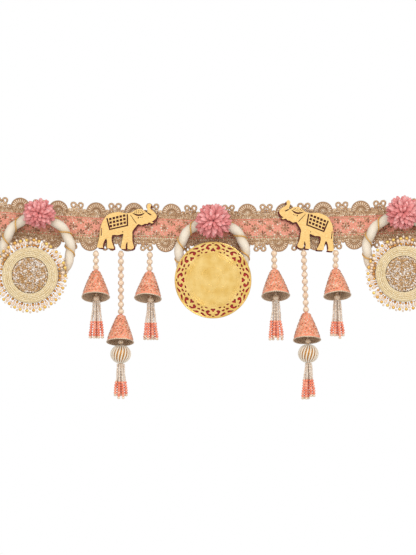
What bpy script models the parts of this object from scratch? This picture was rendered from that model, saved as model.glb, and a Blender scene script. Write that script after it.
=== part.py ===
"""Toran door hanging: a brocade lace band that hangs flat on a wall, with three
padded cloth rings, a cut-out gold disc, two pearl discs, two elephants and six
bead strings that end in cloth cones and tassels.

Lengths are in millimetres and turned into metres where a mesh or a location is
made. X runs along the band, Z is up, and -Y points away from the wall. The origin
is on the top edge of the band, in its middle. A depth is the distance from the
wall, which stands WALL behind the origin.
"""
import bpy
import bmesh
import math
import random
from mathutils import Vector
from mathutils.geometry import delaunay_2d_cdt

MM = 0.001
WALL = 1.5
GAP = 0.3

# Band
BAND_HALF_LENGTH = 240.0
BAND_THICK = 1.2
BAND_DEPTH = 1.5
BAND_TOP_VALLEY = -5.5
BAND_LOW_VALLEY = -42.5
SCALLOP_TOP = 5.5
SCALLOP_LOW = 5.1
REPEAT = 37.8
TOP_FAN_X = -3.5
LOW_FAN_X = -9.8
RIPPLE = 0.3
RIPPLE_LENGTH = 23.0
HEM_WIDTH = 9.0
BAND_GRID = 12.0

# How far the band rises above its middle: columns x, rise
BAND_RISE = (
    (-240.0, 10.5),
    (-193.0, 7.0),
    (-155.0, 4.2),
    (-117.0, 2.2),
    (-63.0, 1.8),
    (-21.0, 0.1),
    (0.0, 0.0),
    (34.0, 0.9),
    (72.0, 1.6),
    (109.0, 3.0),
    (148.0, 4.0),
    (171.0, 5.0),
    (240.0, 9.0),
)

# One repeat of the scalloped edge: columns x from the fan's centre, share of height
EDGE_MOTIF = (
    (-9.4, 0.0),
    (-8.2, 0.56),
    (-5.2, 0.88),
    (0.0, 1.0),
    (5.2, 0.88),
    (8.2, 0.56),
    (9.4, 0.0),
    (11.5, 0.0),
    (12.6, 0.75),
    (15.0, 1.0),
    (17.4, 0.75),
    (18.9, 0.4),
    (20.4, 0.75),
    (22.8, 1.0),
    (25.2, 0.75),
    (26.3, 0.0),
)

# Padded rings, their winding cord and the flowers over them
RING_RADIUS = 33.0
RING_TUBE = 3.9
RING_STEPS = 44
RING_SIDES = 8
RING_DEPTH = 8.7
CORD_RADIUS = 0.55
CORD_COIL = 5.15
CORD_TURNS = 11
CORD_POINTS_PER_TURN = 8
DISC_DEPTH = 15.2

# Ring motifs: columns name, x, ring z, disc x, disc z
MOTIFS = (
    ("left", -175.2, -45.0, -182.0, -70.2),
    ("centre", -0.8, -49.0, 0.0, -75.0),
    ("right", 186.4, -44.4, 189.6, -68.8),
)

# Flowers: columns name, x, z, half width, half height, seed
FLOWERS = (
    ("left", -173.0, -8.7, 18.0, 15.6, 3),
    ("centre", 0.3, -16.3, 19.6, 18.6, 7),
    ("right", 189.0, -8.0, 19.0, 17.8, 11),
)
PETALS_ROUND = 14
FLOWER_CORE = 7.0
FLOWER_CORE_LIFT = 3.0
PETAL_WIDENING = 1.6
PETAL_THINNING = 0.45
TOP_PETAL_REACH = 0.24
TOP_PETAL_HEIGHT = 12.6
# Rows of petals on the core: columns low edge, high edge in degrees, reach, height
PETAL_ROWS = (
    (-14.0, 14.0, 1.0, 3.5),
    (14.0, 40.0, 0.86, 7.5),
    (40.0, 66.0, 0.62, 10.5),
)

# Gold disc
PLATE_RADIUS = 38.2
PLATE_THICK = 1.2
BACKING_RADIUS = 37.4
BACKING_THICK = 1.6
FILIGREE_REPEATS = 8

# Pearl discs
FRINGE_TEETH = 34
FRINGE_TIP = 38.4
FRINGE_ROOT = 35.6
FRINGE_THICK = 4.0
COIL_OUTER = 27.6
COIL_INNER = 18.2
COIL_ROWS = 3
COIL_THICK = 3.4
COIL_STEPS = 28
CENTRE_RADIUS = 17.9
CENTRE_THICK = 2.4

# Elephants
ELEPHANT_THICK = 1.5
ELEPHANT_BACK_DEPTH = 3.0
ELEPHANT_BACK_SHIFT = 1.1
ELEPHANT_TILT = 8.5

# Bead strings
STRING_DEPTH = 4.6
PEARL_RADIUS = 3.1
SPACER_RADIUS = 1.7
THREAD_RADIUS = 0.7
STRING_SIDES = 6
CONE_LENGTH = 28.0
CONE_TOP_RADIUS = 3.6
CONE_BELLY = 0.7
CONE_WALL = 1.2
CONE_CEILING = 2.2
CONE_SIDES = 16
BALL_RADIUS = 10.3
BALL_HALF_HEIGHT = 9.4
BALL_RIBS = 14
BALL_RIB_HEIGHT = 0.5
BALL_DEPTH = 10.7
MOUTH_BEAD_RADIUS = 3.2
MOUTH_BEAD_FORWARD = 1.6
LINK_BEAD_RADIUS = 2.7
STEM_DROP = 1.0
STRAND_COUNT = 8
STRAND_HEAD_RADIUS = 3.7
STRAND_SPREAD_DEPTH = 0.6
SEED_HALF = 0.85
CORAL_STEP = 1.6
CORAL_HALF = 1.15
CORAL_REACH = 0.9

# Strings: columns name, x at the band, x at the cone, top z, pearls, pitch,
# cone top z, rim radius, lean to the side, tilt off the wall
STRINGS = (
    ("1", -117.0, -117.0, -45.2, 3, 6.75, -66.0, 13.9, 0.0, 22.0),
    ("2", -92.0, -92.0, -46.0, 9, 7.15, -110.0, 13.5, -1.0, 17.0),
    ("3", -63.0, -63.5, -46.3, 3, 6.7, -67.0, 13.4, -3.0, 21.0),
    ("4", 60.8, 61.4, -45.0, 3, 6.5, -65.0, 14.0, 2.0, 22.0),
    ("5", 90.5, 93.0, -45.0, 9, 7.0, -108.0, 13.7, 1.0, 17.0),
    ("6", 122.7, 122.3, -45.2, 3, 6.3, -64.3, 13.6, 3.5, 20.0),
)

# Tassels: columns name, x, bead z, strands' top z, bead change z, tip z,
# reach at the change, reach at the tip, has ball
TASSELS = (
    ("1", -116.4, -93.2, -96.4, -115.8, -134.5, 4.9, 6.5, False),
    ("2", -92.0, -136.4, -159.5, -176.3, -192.2, 4.4, 5.8, True),
    ("3", -62.2, -94.8, -98.0, -118.2, -135.7, 4.8, 6.4, False),
    ("4", 62.8, -92.6, -95.8, -115.8, -134.4, 4.6, 6.4, False),
    ("5", 95.0, -135.9, -159.0, -175.1, -193.2, 4.4, 5.9, True),
    ("6", 124.0, -92.1, -95.3, -116.4, -132.6, 4.6, 6.2, False),
)

# Side view of an elephant that faces right, trunk up: columns x, z from the middle
# of its saddle cloth
ELEPHANT_OUTLINE = (
    (29.1, 15.1),
    (29.4, 17.0),
    (30.9, 18.5),
    (32.6, 17.9),
    (33.2, 16.4),
    (32.4, 14.2),
    (33.4, 12.5),
    (36.4, 10.0),
    (38.5, 7.4),
    (38.8, 5.3),
    (37.6, 3.1),
    (35.4, 1.4),
    (33.8, 0.7),
    (35.7, -0.4),
    (33.8, -1.3),
    (31.0, -0.2),
    (29.6, -1.6),
    (27.0, -1.7),
    (24.4, -2.9),
    (22.8, -2.9),
    (20.3, -2.0),
    (17.6, -5.0),
    (14.6, -9.1),
    (14.5, -12.3),
    (14.5, -18.7),
    (15.6, -22.9),
    (16.1, -25.3),
    (14.8, -26.7),
    (12.8, -27.4),
    (9.9, -26.6),
    (9.6, -24.2),
    (9.5, -19.5),
    (7.8, -23.0),
    (7.6, -26.8),
    (3.4, -26.6),
    (2.9, -25.7),
    (4.5, -17.4),
    (5.4, -13.1),
    (4.9, -11.6),
    (0.0, -13.1),
    (-5.6, -12.9),
    (-6.1, -19.1),
    (-4.0, -25.1),
    (-4.6, -26.6),
    (-9.8, -26.0),
    (-10.8, -25.1),
    (-10.7, -20.8),
    (-11.6, -16.3),
    (-14.0, -19.6),
    (-15.1, -24.2),
    (-14.6, -25.7),
    (-20.4, -25.4),
    (-20.4, -22.9),
    (-18.4, -14.8),
    (-17.8, -8.0),
    (-15.8, -0.3),
    (-13.8, 3.1),
    (-11.5, 6.1),
    (-8.0, 8.5),
    (-0.5, 10.2),
    (3.4, 9.8),
    (8.1, 8.7),
    (10.2, 9.1),
    (13.2, 9.5),
    (17.5, 12.1),
    (20.1, 13.0),
    (23.9, 13.0),
    (26.5, 11.2),
    (29.6, 9.4),
)
SADDLE_SLOT = (
    (-11.5, 3.8),
    (-8.5, -8.0),
    (10.2, -3.7),
    (9.9, 7.8),
    (8.9, 7.8),
    (9.1, -2.9),
    (-7.9, -6.8),
    (-10.6, 4.0),
)
HEAD_SLOT = (
    (14.5, 8.9),
    (20.5, 6.3),
    (26.7, 9.1),
    (20.5, 7.5),
)


def smooth_table(table, x):
    """Height of a smooth curve through the table's points."""
    if x <= table[0][0]:
        return table[0][1]
    for (x0, h0), (x1, h1) in zip(table, table[1:]):
        if x <= x1:
            share = (x - x0) / (x1 - x0)
            blend = share * share * (3.0 - 2.0 * share)
            linear = h0 + (h1 - h0) * share
            curved = h0 + (h1 - h0) * blend
            return 0.5 * (linear + curved)
    return table[-1][1]


def band_rise(x):
    return smooth_table(BAND_RISE, x)


def edge_points(fan_x, half_length):
    """Scalloped edge between the band's hemmed ends, as (x, share of its height)."""
    hem = half_length - HEM_WIDTH
    points = []
    first = math.floor((-half_length - fan_x) / REPEAT) - 1
    last = math.ceil((half_length - fan_x) / REPEAT) + 1
    for repeat in range(first, last + 1):
        for offset, height in EDGE_MOTIF:
            x = fan_x + repeat * REPEAT + offset
            if abs(x) < hem - 1.0:
                points.append((x, height))
    start = [(-half_length, 0.0), (-hem, 0.0)]
    end = [(hem, 0.0), (half_length, 0.0)]
    return start + points + end


def new_object(name, data, material, parent=None):
    obj = bpy.data.objects.new(name, data)
    bpy.context.scene.collection.objects.link(obj)
    obj.data.materials.append(material)
    obj.parent = parent
    return obj


def new_material(name, colour, roughness, metallic=0.0):
    material = bpy.data.materials.new(name)
    material.use_nodes = True
    shader = material.node_tree.nodes["Principled BSDF"]
    shader.inputs["Base Color"].default_value = (*colour, 1.0)
    shader.inputs["Roughness"].default_value = roughness
    shader.inputs["Metallic"].default_value = metallic
    return material


def finish_mesh(name, bm, smooth_angle=None):
    bmesh.ops.recalc_face_normals(bm, faces=bm.faces)
    bmesh.ops.scale(bm, vec=(MM, MM, MM), verts=bm.verts)
    mesh = bpy.data.meshes.new(name)
    bm.to_mesh(mesh)
    bm.free()
    if smooth_angle is not None:
        mesh.shade_smooth()
        mesh.set_sharp_from_angle(angle=math.radians(smooth_angle))
    return mesh


def add_solidify(obj, thickness):
    solidify = obj.modifiers.new("Thickness", "SOLIDIFY")
    solidify.thickness = thickness * MM
    solidify.offset = 1.0


def encloses(loop, point):
    """Whether a closed loop of points goes round the given point."""
    inside = False
    for (x0, y0), (x1, y1) in zip(loop, loop[1:] + loop[:1]):
        if (y0 > point.y) != (y1 > point.y):
            crossing = x0 + (point.y - y0) * (x1 - x0) / (y1 - y0)
            if point.x < crossing:
                inside = not inside
    return inside


def cut_sheet(loops, inner_points=()):
    """Triangulated flat sheet inside the first loop and outside the others."""
    loops = [list(loop) for loop in loops]
    points = []
    edges = []
    for loop in loops:
        start = len(points)
        points.extend(Vector(point) for point in loop)
        count = len(loop)
        edges.extend((start + i, start + (i + 1) % count) for i in range(count))
    points.extend(Vector(point) for point in inner_points)
    spots, _edges, faces = delaunay_2d_cdt(points, edges, [], 1, 1e-5)[0:3]
    bm = bmesh.new()
    verts = [bm.verts.new((spot.x, spot.y, 0.0)) for spot in spots]
    for face in faces:
        middle = sum((spots[i] for i in face), Vector((0.0, 0.0))) / len(face)
        in_hole = any(encloses(loop, middle) for loop in loops[1:])
        if encloses(loops[0], middle) and not in_hole:
            bm.faces.new([verts[i] for i in face])
    loose = [vert for vert in bm.verts if not vert.link_faces]
    bmesh.ops.delete(bm, geom=loose, context="VERTS")
    return bm


def sheet_mesh(name, loops, inner_points=()):
    bm = cut_sheet(loops, inner_points)
    for face in bm.faces:
        if face.normal.z < 0.0:
            face.normal_flip()
    bm.normal_update()
    bmesh.ops.scale(bm, vec=(MM, MM, MM), verts=bm.verts)
    mesh = bpy.data.meshes.new(name)
    bm.to_mesh(mesh)
    bm.free()
    return mesh


def turned_body(profile, steps, wobble=None):
    """Closed body turned about Z from (radius, z) points; radius 0 makes a pole."""
    bm = bmesh.new()
    rows = []
    for radius, z in profile:
        if radius == 0.0:
            rows.append([bm.verts.new((0.0, 0.0, z))])
            continue
        row = []
        for step in range(steps):
            angle = 2.0 * math.pi * step / steps
            reach = radius if wobble is None else wobble(radius, step)
            row.append(bm.verts.new((reach * math.cos(angle), reach * math.sin(angle), z)))
        rows.append(row)
    for low, high in zip(rows, rows[1:]):
        for step in range(steps):
            after = (step + 1) % steps
            if len(low) == 1:
                bm.faces.new((low[0], high[after], high[step]))
            elif len(high) == 1:
                bm.faces.new((low[step], low[after], high[0]))
            else:
                bm.faces.new((low[step], low[after], high[after], high[step]))
    if len(rows[0]) > 1 and len(rows[-1]) > 1:
        for step in range(steps):
            after = (step + 1) % steps
            bm.faces.new((rows[-1][step], rows[-1][after], rows[0][after], rows[0][step]))
    return bm


def face_wall(obj, x, z, depth):
    """Stand a piece drawn in its XY plane against the wall, its +Z to the viewer."""
    obj.location = (x * MM, (WALL - depth) * MM, z * MM)
    obj.rotation_euler = (math.radians(90.0), 0.0, 0.0)


# Band

def band_outline():
    top = [
        (x, BAND_TOP_VALLEY + SCALLOP_TOP * height + band_rise(x))
        for x, height in edge_points(TOP_FAN_X, BAND_HALF_LENGTH)
    ]
    low = [
        (x, BAND_LOW_VALLEY - SCALLOP_LOW * height + band_rise(x))
        for x, height in edge_points(LOW_FAN_X, BAND_HALF_LENGTH)
    ]
    return low + top[::-1]


def band_inner_points():
    points = []
    columns = int(2.0 * BAND_HALF_LENGTH / BAND_GRID)
    rows = 3
    for column in range(1, columns):
        x = -BAND_HALF_LENGTH + column * BAND_GRID
        for row in range(1, rows + 1):
            share = row / (rows + 1)
            z = BAND_LOW_VALLEY + share * (BAND_TOP_VALLEY - BAND_LOW_VALLEY)
            points.append((x, z + band_rise(x)))
    return points


def build_band(parent, material):
    mesh = sheet_mesh("band", [band_outline()], band_inner_points())
    for vert in mesh.vertices:
        x = vert.co.x / MM
        z = vert.co.y / MM
        wave = math.sin(x / RIPPLE_LENGTH) + 0.5 * math.sin(x / 9.0 + z / 14.0)
        vert.co.z = RIPPLE * wave * MM
    band = new_object("band_lace", mesh, material, parent)
    face_wall(band, 0.0, 0.0, BAND_DEPTH - BAND_THICK / 2.0)
    add_solidify(band, BAND_THICK)


# Padded rings

def ring_tube_mesh():
    profile = []
    for side in range(RING_SIDES):
        angle = 2.0 * math.pi * (side + 0.5) / RING_SIDES
        profile.append((RING_RADIUS + RING_TUBE * math.cos(angle), RING_TUBE * math.sin(angle)))
    return finish_mesh("ring_tube", turned_body(profile, RING_STEPS), 60.0)


def ring_cord_curve():
    """Cord wound slantwise round the tube, closed on itself after a whole ring."""
    curve = bpy.data.curves.new("ring_cord", "CURVE")
    curve.dimensions = "3D"
    curve.bevel_depth = CORD_RADIUS * MM
    curve.bevel_resolution = 0
    count = CORD_TURNS * CORD_POINTS_PER_TURN
    spline = curve.splines.new("POLY")
    spline.points.add(count - 1)
    for i in range(count):
        along = math.radians(90.0) + 2.0 * math.pi * i / count
        around = 2.0 * math.pi * i * CORD_TURNS / count
        reach = RING_RADIUS + CORD_COIL * math.cos(around)
        point = Vector((reach * math.cos(along), reach * math.sin(along)))
        spline.points[i].co = (point.x * MM, point.y * MM, CORD_COIL * math.sin(around) * MM, 1.0)
    spline.use_cyclic_u = True
    return curve


def build_rings(parent, cloth, gold):
    tube = ring_tube_mesh()
    cord = ring_cord_curve()
    tube.materials.append(cloth)
    cord.materials.append(gold)
    for name, x, z, _disc_x, _disc_z in MOTIFS:
        for prefix, data in (("ring_", tube), ("ring_cord_", cord)):
            obj = bpy.data.objects.new(prefix + name, data)
            bpy.context.scene.collection.objects.link(obj)
            obj.parent = parent
            face_wall(obj, x, z, RING_DEPTH)


# Flowers

def flower_mesh(name, half_width, half_height, seed):
    chance = random.Random(seed)
    bm = bmesh.new()
    centre = Vector((0.0, 0.0, FLOWER_CORE_LIFT))
    edges = [PETAL_ROWS[0][0]] + [row[1] for row in PETAL_ROWS]
    rings = []
    for elevation in edges:
        rise = math.radians(elevation)
        ring = []
        for step in range(PETALS_ROUND):
            turn = 2.0 * math.pi * step / PETALS_ROUND
            reach = FLOWER_CORE * math.cos(rise)
            spot = (reach * math.cos(turn), reach * math.sin(turn), FLOWER_CORE * math.sin(rise))
            ring.append(bm.verts.new(centre + Vector(spot)))
        rings.append(ring)
    pole = bm.verts.new(centre + Vector((0.0, 0.0, FLOWER_CORE)))
    bm.faces.new(rings[0][::-1])
    petals = []
    for row, (low, high) in enumerate(zip(rings, rings[1:])):
        for step in range(PETALS_ROUND):
            after = (step + 1) % PETALS_ROUND
            face = bm.faces.new((low[step], low[after], high[after], high[step]))
            petals.append((face, row))
    for step in range(PETALS_ROUND):
        after = (step + 1) % PETALS_ROUND
        face = bm.faces.new((rings[-1][step], rings[-1][after], pole))
        if step % 2 == 0:
            petals.append((face, len(PETAL_ROWS)))
    bm.normal_update()
    for face, row in petals:
        tip = bmesh.ops.extrude_discrete_faces(bm, faces=[face])["faces"][0]
        shape_petal(tip, row, half_width, half_height, chance)
    return finish_mesh(name, bm)


def shape_petal(tip, row, half_width, half_height, chance):
    """Draw a petal out of the core: slim, a little wider and much thinner at its tip."""
    middle = tip.calc_center_median()
    turn = math.atan2(middle.y, middle.x) + math.radians(chance.uniform(-5.0, 5.0))
    length = chance.uniform(0.88, 1.0)
    if row < len(PETAL_ROWS):
        reach = PETAL_ROWS[row][2] * length
        height = PETAL_ROWS[row][3] * chance.uniform(0.9, 1.1)
    else:
        reach = TOP_PETAL_REACH
        height = TOP_PETAL_HEIGHT * length
    spot = Vector((half_width * reach * math.cos(turn), half_height * reach * math.sin(turn), height))
    side = Vector((-math.sin(turn), math.cos(turn), 0.0))
    for vert in tip.verts:
        offset = vert.co - middle
        across = offset.dot(side)
        rest = offset - side * across
        vert.co = spot + side * across * PETAL_WIDENING + rest * PETAL_THINNING


def build_flowers(parent, material):
    for name, x, z, half_width, half_height, seed in FLOWERS:
        mesh = flower_mesh("flower_" + name, half_width, half_height, seed)
        flower = new_object("flower_" + name, mesh, material, parent)
        face_wall(flower, x, z, DISC_DEPTH)


# Discs

def circle(radius, steps, start=0.0):
    return [
        (radius * math.cos(start + 2.0 * math.pi * i / steps),
         radius * math.sin(start + 2.0 * math.pi * i / steps))
        for i in range(steps)
    ]


def at_angle(points, turn):
    """Place (along, out) points, drawn upwards from the disc's centre, at a turn."""
    placed = []
    for along, out in points:
        x = along * math.cos(turn) + out * math.sin(turn)
        y = -along * math.sin(turn) + out * math.cos(turn)
        placed.append((x, y))
    return placed


def filigree_holes():
    """Heart with a comma at either side, repeated round the rim of the gold disc."""
    heart = (
        (0.0, 29.2),
        (2.1, 31.4),
        (1.6, 33.0),
        (0.0, 32.2),
        (-1.6, 33.0),
        (-2.1, 31.4),
    )
    comma = (
        (3.4, 29.6),
        (6.0, 29.9),
        (9.2, 31.2),
        (8.0, 34.4),
        (5.2, 35.4),
        (3.2, 34.8),
        (5.8, 33.0),
    )
    mirrored = tuple((-along, out) for along, out in comma[::-1])
    holes = []
    for repeat in range(FILIGREE_REPEATS):
        turn = 2.0 * math.pi * repeat / FILIGREE_REPEATS
        holes.append(at_angle(heart, turn))
        holes.append(at_angle(comma, turn))
        holes.append(at_angle(mirrored, turn))
    return holes


def build_gold_disc(parent, gold, red):
    motif = MOTIFS[1]
    backing = new_object("disc_backing", sheet_mesh("disc_backing", [circle(BACKING_RADIUS, 48)]), red, parent)
    face_wall(backing, motif[3], motif[4], DISC_DEPTH)
    add_solidify(backing, BACKING_THICK)
    loops = [circle(PLATE_RADIUS, 56)] + filigree_holes()
    plate = new_object("disc_plate", sheet_mesh("disc_plate", loops), gold, parent)
    face_wall(plate, motif[3], motif[4], DISC_DEPTH + BACKING_THICK + GAP)
    add_solidify(plate, PLATE_THICK)


def fringe_mesh():
    """Round card whose edge is set with short spokes of beads."""
    def tooth(radius, step):
        if radius < FRINGE_ROOT:
            return radius
        return radius if step % 2 == 0 else radius - (FRINGE_TIP - FRINGE_ROOT)
    profile = (
        (0.0, 0.0),
        (FRINGE_TIP - 1.2, 0.0),
        (FRINGE_TIP, FRINGE_THICK / 2.0),
        (FRINGE_TIP - 1.2, FRINGE_THICK),
        (COIL_OUTER - 1.0, FRINGE_THICK - 1.0),
        (0.0, FRINGE_THICK - 1.0),
    )
    return finish_mesh("pearl_base", turned_body(profile, 2 * FRINGE_TEETH, tooth))


def coil_mesh():
    """Flat coil of bead rows, sewn round and round into a raised annulus."""
    row = (COIL_OUTER - COIL_INNER) / COIL_ROWS
    profile = [(COIL_INNER, 0.0), (COIL_OUTER, 0.0), (COIL_OUTER, COIL_THICK * 0.55)]
    for i in range(COIL_ROWS):
        outer = COIL_OUTER - i * row
        profile.append((outer - row / 2.0, COIL_THICK))
        profile.append((outer - row, COIL_THICK * 0.6))
    return finish_mesh("pearl_coil", turned_body(profile, COIL_STEPS))


def centre_mesh():
    """Filling of mixed beads, uneven to the eye and nearly level."""
    chance = random.Random(5)
    profile = (
        (0.0, 0.0),
        (CENTRE_RADIUS, 0.0),
        (CENTRE_RADIUS, 1.4),
        (13.5, CENTRE_THICK),
        (8.5, CENTRE_THICK),
        (4.0, CENTRE_THICK),
        (0.0, CENTRE_THICK),
    )
    bm = turned_body(profile, 18)
    for vert in bm.verts:
        if vert.co.z > CENTRE_THICK - 0.1:
            vert.co.z += chance.uniform(-0.5, 0.5)
    return finish_mesh("pearl_centre", bm)


def build_pearl_discs(parent, beads, cream, clear):
    layers = (
        ("pearl_base_", fringe_mesh(), beads, 0.0),
        ("pearl_coil_", coil_mesh(), cream, FRINGE_THICK - 1.0 + GAP),
        ("pearl_centre_", centre_mesh(), clear, FRINGE_THICK - 1.0 + GAP),
    )
    for prefix, mesh, material, lift in layers:
        mesh.materials.append(material)
        for name, _x, _z, disc_x, disc_z in (MOTIFS[0], MOTIFS[2]):
            obj = bpy.data.objects.new(prefix + name, mesh)
            bpy.context.scene.collection.objects.link(obj)
            obj.parent = parent
            face_wall(obj, disc_x, disc_z, DISC_DEPTH + lift)


# Elephants

def turned_points(points, facing, tilt):
    """Points of the side view for an elephant that faces +1 right or -1 left."""
    spun = []
    for x, z in points:
        x *= facing
        spun.append((x * math.cos(tilt) - z * math.sin(tilt), x * math.sin(tilt) + z * math.cos(tilt)))
    return spun if facing > 0 else spun[::-1]


def build_elephants(parent, gold, red):
    # columns name, x, z, facing, tilt
    placed = (
        ("left", -95.0, -17.2, 1, 0.0),
        ("right", 103.7, -18.1, -1, math.radians(-ELEPHANT_TILT)),
    )
    for name, x, z, facing, tilt in placed:
        outline = turned_points(ELEPHANT_OUTLINE, facing, tilt)
        slots = [turned_points(slot, facing, tilt) for slot in (SADDLE_SLOT, HEAD_SLOT)]
        back = new_object("elephant_back_" + name, sheet_mesh("elephant_back", [outline]), red, parent)
        shift = ELEPHANT_BACK_SHIFT
        face_wall(back, x + facing * shift, z - shift, ELEPHANT_BACK_DEPTH)
        add_solidify(back, ELEPHANT_THICK)
        mesh = sheet_mesh("elephant_plate", [outline] + slots)
        plate = new_object("elephant_plate_" + name, mesh, gold, parent)
        face_wall(plate, x, z, ELEPHANT_BACK_DEPTH + ELEPHANT_THICK + GAP)
        add_solidify(plate, ELEPHANT_THICK)


# Bead strings

def bead_rows(z, radius):
    """Four rows of a bead that sits on its thread, from its top down."""
    return [
        (THREAD_RADIUS, z + radius * 0.98),
        (radius * 0.8, z + radius * 0.6),
        (radius, z),
        (radius * 0.8, z - radius * 0.6),
        (THREAD_RADIUS, z - radius * 0.98),
    ]


def string_mesh(name, length, pearls, pitch):
    """String of pearls and spacers down from the band to the cone, drawn from its top."""
    centres = [-length + PEARL_RADIUS + i * pitch for i in range(pearls)][::-1]
    profile = [(0.0, 0.0), (THREAD_RADIUS, 0.0)]
    for z in centres:
        rows = bead_rows(z, PEARL_RADIUS)
        rows[0] = (SPACER_RADIUS, z + PEARL_RADIUS * 0.85)
        rows[4] = (SPACER_RADIUS, z - PEARL_RADIUS * 0.85)
        profile.extend(rows)
    profile.append((THREAD_RADIUS, -length))
    profile.append((0.0, -length))
    return finish_mesh(name, turned_body(profile, STRING_SIDES), 60.0)


def cone_mesh(name, rim):
    """Cloth cone with a slightly full side, open below and closed above."""
    middle = (CONE_TOP_RADIUS + rim) / 2.0 + CONE_BELLY
    profile = (
        (0.0, 0.0),
        (CONE_TOP_RADIUS, -0.6),
        (middle, -CONE_LENGTH / 2.0),
        (rim, -CONE_LENGTH),
        (rim - CONE_WALL, -CONE_LENGTH),
        (CONE_TOP_RADIUS - CONE_WALL, -CONE_CEILING),
        (0.0, -CONE_CEILING),
    )
    return finish_mesh(name, turned_body(profile, CONE_SIDES), 40.0)


def round_row(bm, radius, centre, depth_share=1.0):
    """Row of points round a centre, one for each strand, flatter towards the wall."""
    row = []
    for step in range(STRAND_COUNT):
        angle = 2.0 * math.pi * step / STRAND_COUNT
        spot = Vector((radius * math.cos(angle), depth_share * radius * math.sin(angle), 0.0))
        row.append(bm.verts.new(centre + spot))
    return row


def strand_head(bm, top):
    """Flat underside split into one four-sided root for each strand."""
    centre = Vector((0.0, 0.0, top))
    rim = round_row(bm, STRAND_HEAD_RADIUS, centre, STRAND_SPREAD_DEPTH)
    middle = round_row(bm, STRAND_HEAD_RADIUS * 0.35, centre, STRAND_SPREAD_DEPTH)
    roots = []
    for step in range(STRAND_COUNT):
        after = (step + 1) % STRAND_COUNT
        roots.append(bm.faces.new((rim[step], rim[after], middle[after], middle[step])))
    bm.faces.new(middle)
    return rim, roots


def tassel_mesh(name, stem_rows, bead, top, lengths, seed):
    """Tassel from its stem down: stem rows of (radius, centre), a bead's rows of
    (radius, z), the head and then the strands, whose lengths are (reach, z, half width)."""
    chance = random.Random(seed)
    bm = bmesh.new()
    start = [bm.verts.new(stem_rows[0][1])]
    rows = [round_row(bm, radius, centre) for radius, centre in stem_rows]
    rows.extend(round_row(bm, radius, Vector((0.0, 0.0, z))) for radius, z in bead)
    rim, roots = strand_head(bm, top)
    rows.append(rim)
    for step in range(STRAND_COUNT):
        bm.faces.new((start[0], rows[0][(step + 1) % STRAND_COUNT], rows[0][step]))
    for low, high in zip(rows, rows[1:]):
        for step in range(STRAND_COUNT):
            after = (step + 1) % STRAND_COUNT
            bm.faces.new((low[step], low[after], high[after], high[step]))
    bm.normal_update()
    for root in roots:
        middle = root.calc_center_median()
        turn = math.atan2(middle.y / STRAND_SPREAD_DEPTH, middle.x)
        rise = chance.uniform(0.0, 2.0)
        face = root
        for reach, z, half in lengths:
            face = bmesh.ops.extrude_discrete_faces(bm, faces=[face])["faces"][0]
            square_strand(face, turn, reach, z, half)
        for vert in face.verts:
            vert.co.z += rise
    return finish_mesh(name, bm)


def square_strand(face, turn, reach, z, half):
    """Set a strand's end to a small square, out in the bundle and flat to the wall."""
    middle = Vector((reach * math.cos(turn), STRAND_SPREAD_DEPTH * reach * math.sin(turn), z))
    out = Vector((math.cos(turn), math.sin(turn), 0.0))
    side = Vector((-math.sin(turn), math.cos(turn), 0.0))
    squared = math.pi / 2.0 * round(turn / (math.pi / 2.0))
    out_flat = Vector((math.cos(squared), math.sin(squared), 0.0))
    side_flat = Vector((-math.sin(squared), math.cos(squared), 0.0))
    centre = face.calc_center_median()
    for vert in face.verts:
        offset = vert.co - centre
        far = math.copysign(half, offset.dot(out))
        wide = math.copysign(half, offset.dot(side))
        vert.co = middle + out_flat * far + side_flat * wide


def ball_mesh():
    """Ribbed ball: cloth strips drawn from pole to pole over a round core."""
    def rib(radius, step):
        return radius + (BALL_RIB_HEIGHT / 2.0 if step % 2 == 0 else -BALL_RIB_HEIGHT / 2.0)
    profile = [(0.0, BALL_HALF_HEIGHT)]
    for latitude in (62.0, 36.0, 12.0, -12.0, -36.0, -62.0):
        rise = math.radians(latitude)
        reach = (BALL_RADIUS - BALL_RIB_HEIGHT / 2.0) * math.cos(rise)
        profile.append((reach, BALL_HALF_HEIGHT * math.sin(rise)))
    profile.append((0.0, -BALL_HALF_HEIGHT))
    return finish_mesh("ball", turned_body(profile, 2 * BALL_RIBS, rib))


def build_strings(parent, pearl, brocade):
    for name, x_top, x_cone, top, pearls, pitch, apex, rim, lean, tilt in STRINGS:
        run = Vector((x_cone - x_top, 0.0, apex + GAP - top))
        mesh = string_mesh("string_" + name, run.length, pearls, pitch)
        string = new_object("string_" + name, mesh, pearl, parent)
        string.location = (x_top * MM, (WALL - STRING_DEPTH) * MM, top * MM)
        string.rotation_euler = (0.0, math.atan2(-run.x, -run.z), 0.0)
        cone = new_object("cone_" + name, cone_mesh("cone_" + name, rim), brocade, parent)
        cone.location = (x_cone * MM, (WALL - STRING_DEPTH) * MM, apex * MM)
        cone.rotation_euler = (math.radians(-tilt), math.radians(-lean), 0.0)


def build_ball(name, x, bead_z, start, ball, parent, pearl):
    """Ball and the beaded link from its cone down to it; gives the ball's foot."""
    run = Vector((x, BALL_DEPTH, bead_z - LINK_BEAD_RADIUS)) - start
    rows = [(0.0, 0.0), (THREAD_RADIUS, 0.0)]
    rows.extend(bead_rows(-run.length + LINK_BEAD_RADIUS, LINK_BEAD_RADIUS))
    rows.append((0.0, rows[-1][1]))
    mesh = finish_mesh("link_" + name, turned_body(rows, STRING_SIDES), 60.0)
    link = new_object("link_" + name, mesh, pearl, parent)
    link.location = (start.x * MM, (WALL - start.y) * MM, start.z * MM)
    down = Vector((run.x, -run.y, run.z))
    link.rotation_euler = Vector((0.0, 0.0, -1.0)).rotation_difference(down).to_euler()
    z = bead_z - LINK_BEAD_RADIUS - GAP - BALL_HALF_HEIGHT
    obj = bpy.data.objects.new("ball_" + name, ball)
    bpy.context.scene.collection.objects.link(obj)
    obj.parent = parent
    obj.location = (x * MM, (WALL - BALL_DEPTH) * MM, z * MM)
    return z - BALL_HALF_HEIGHT - GAP


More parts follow.
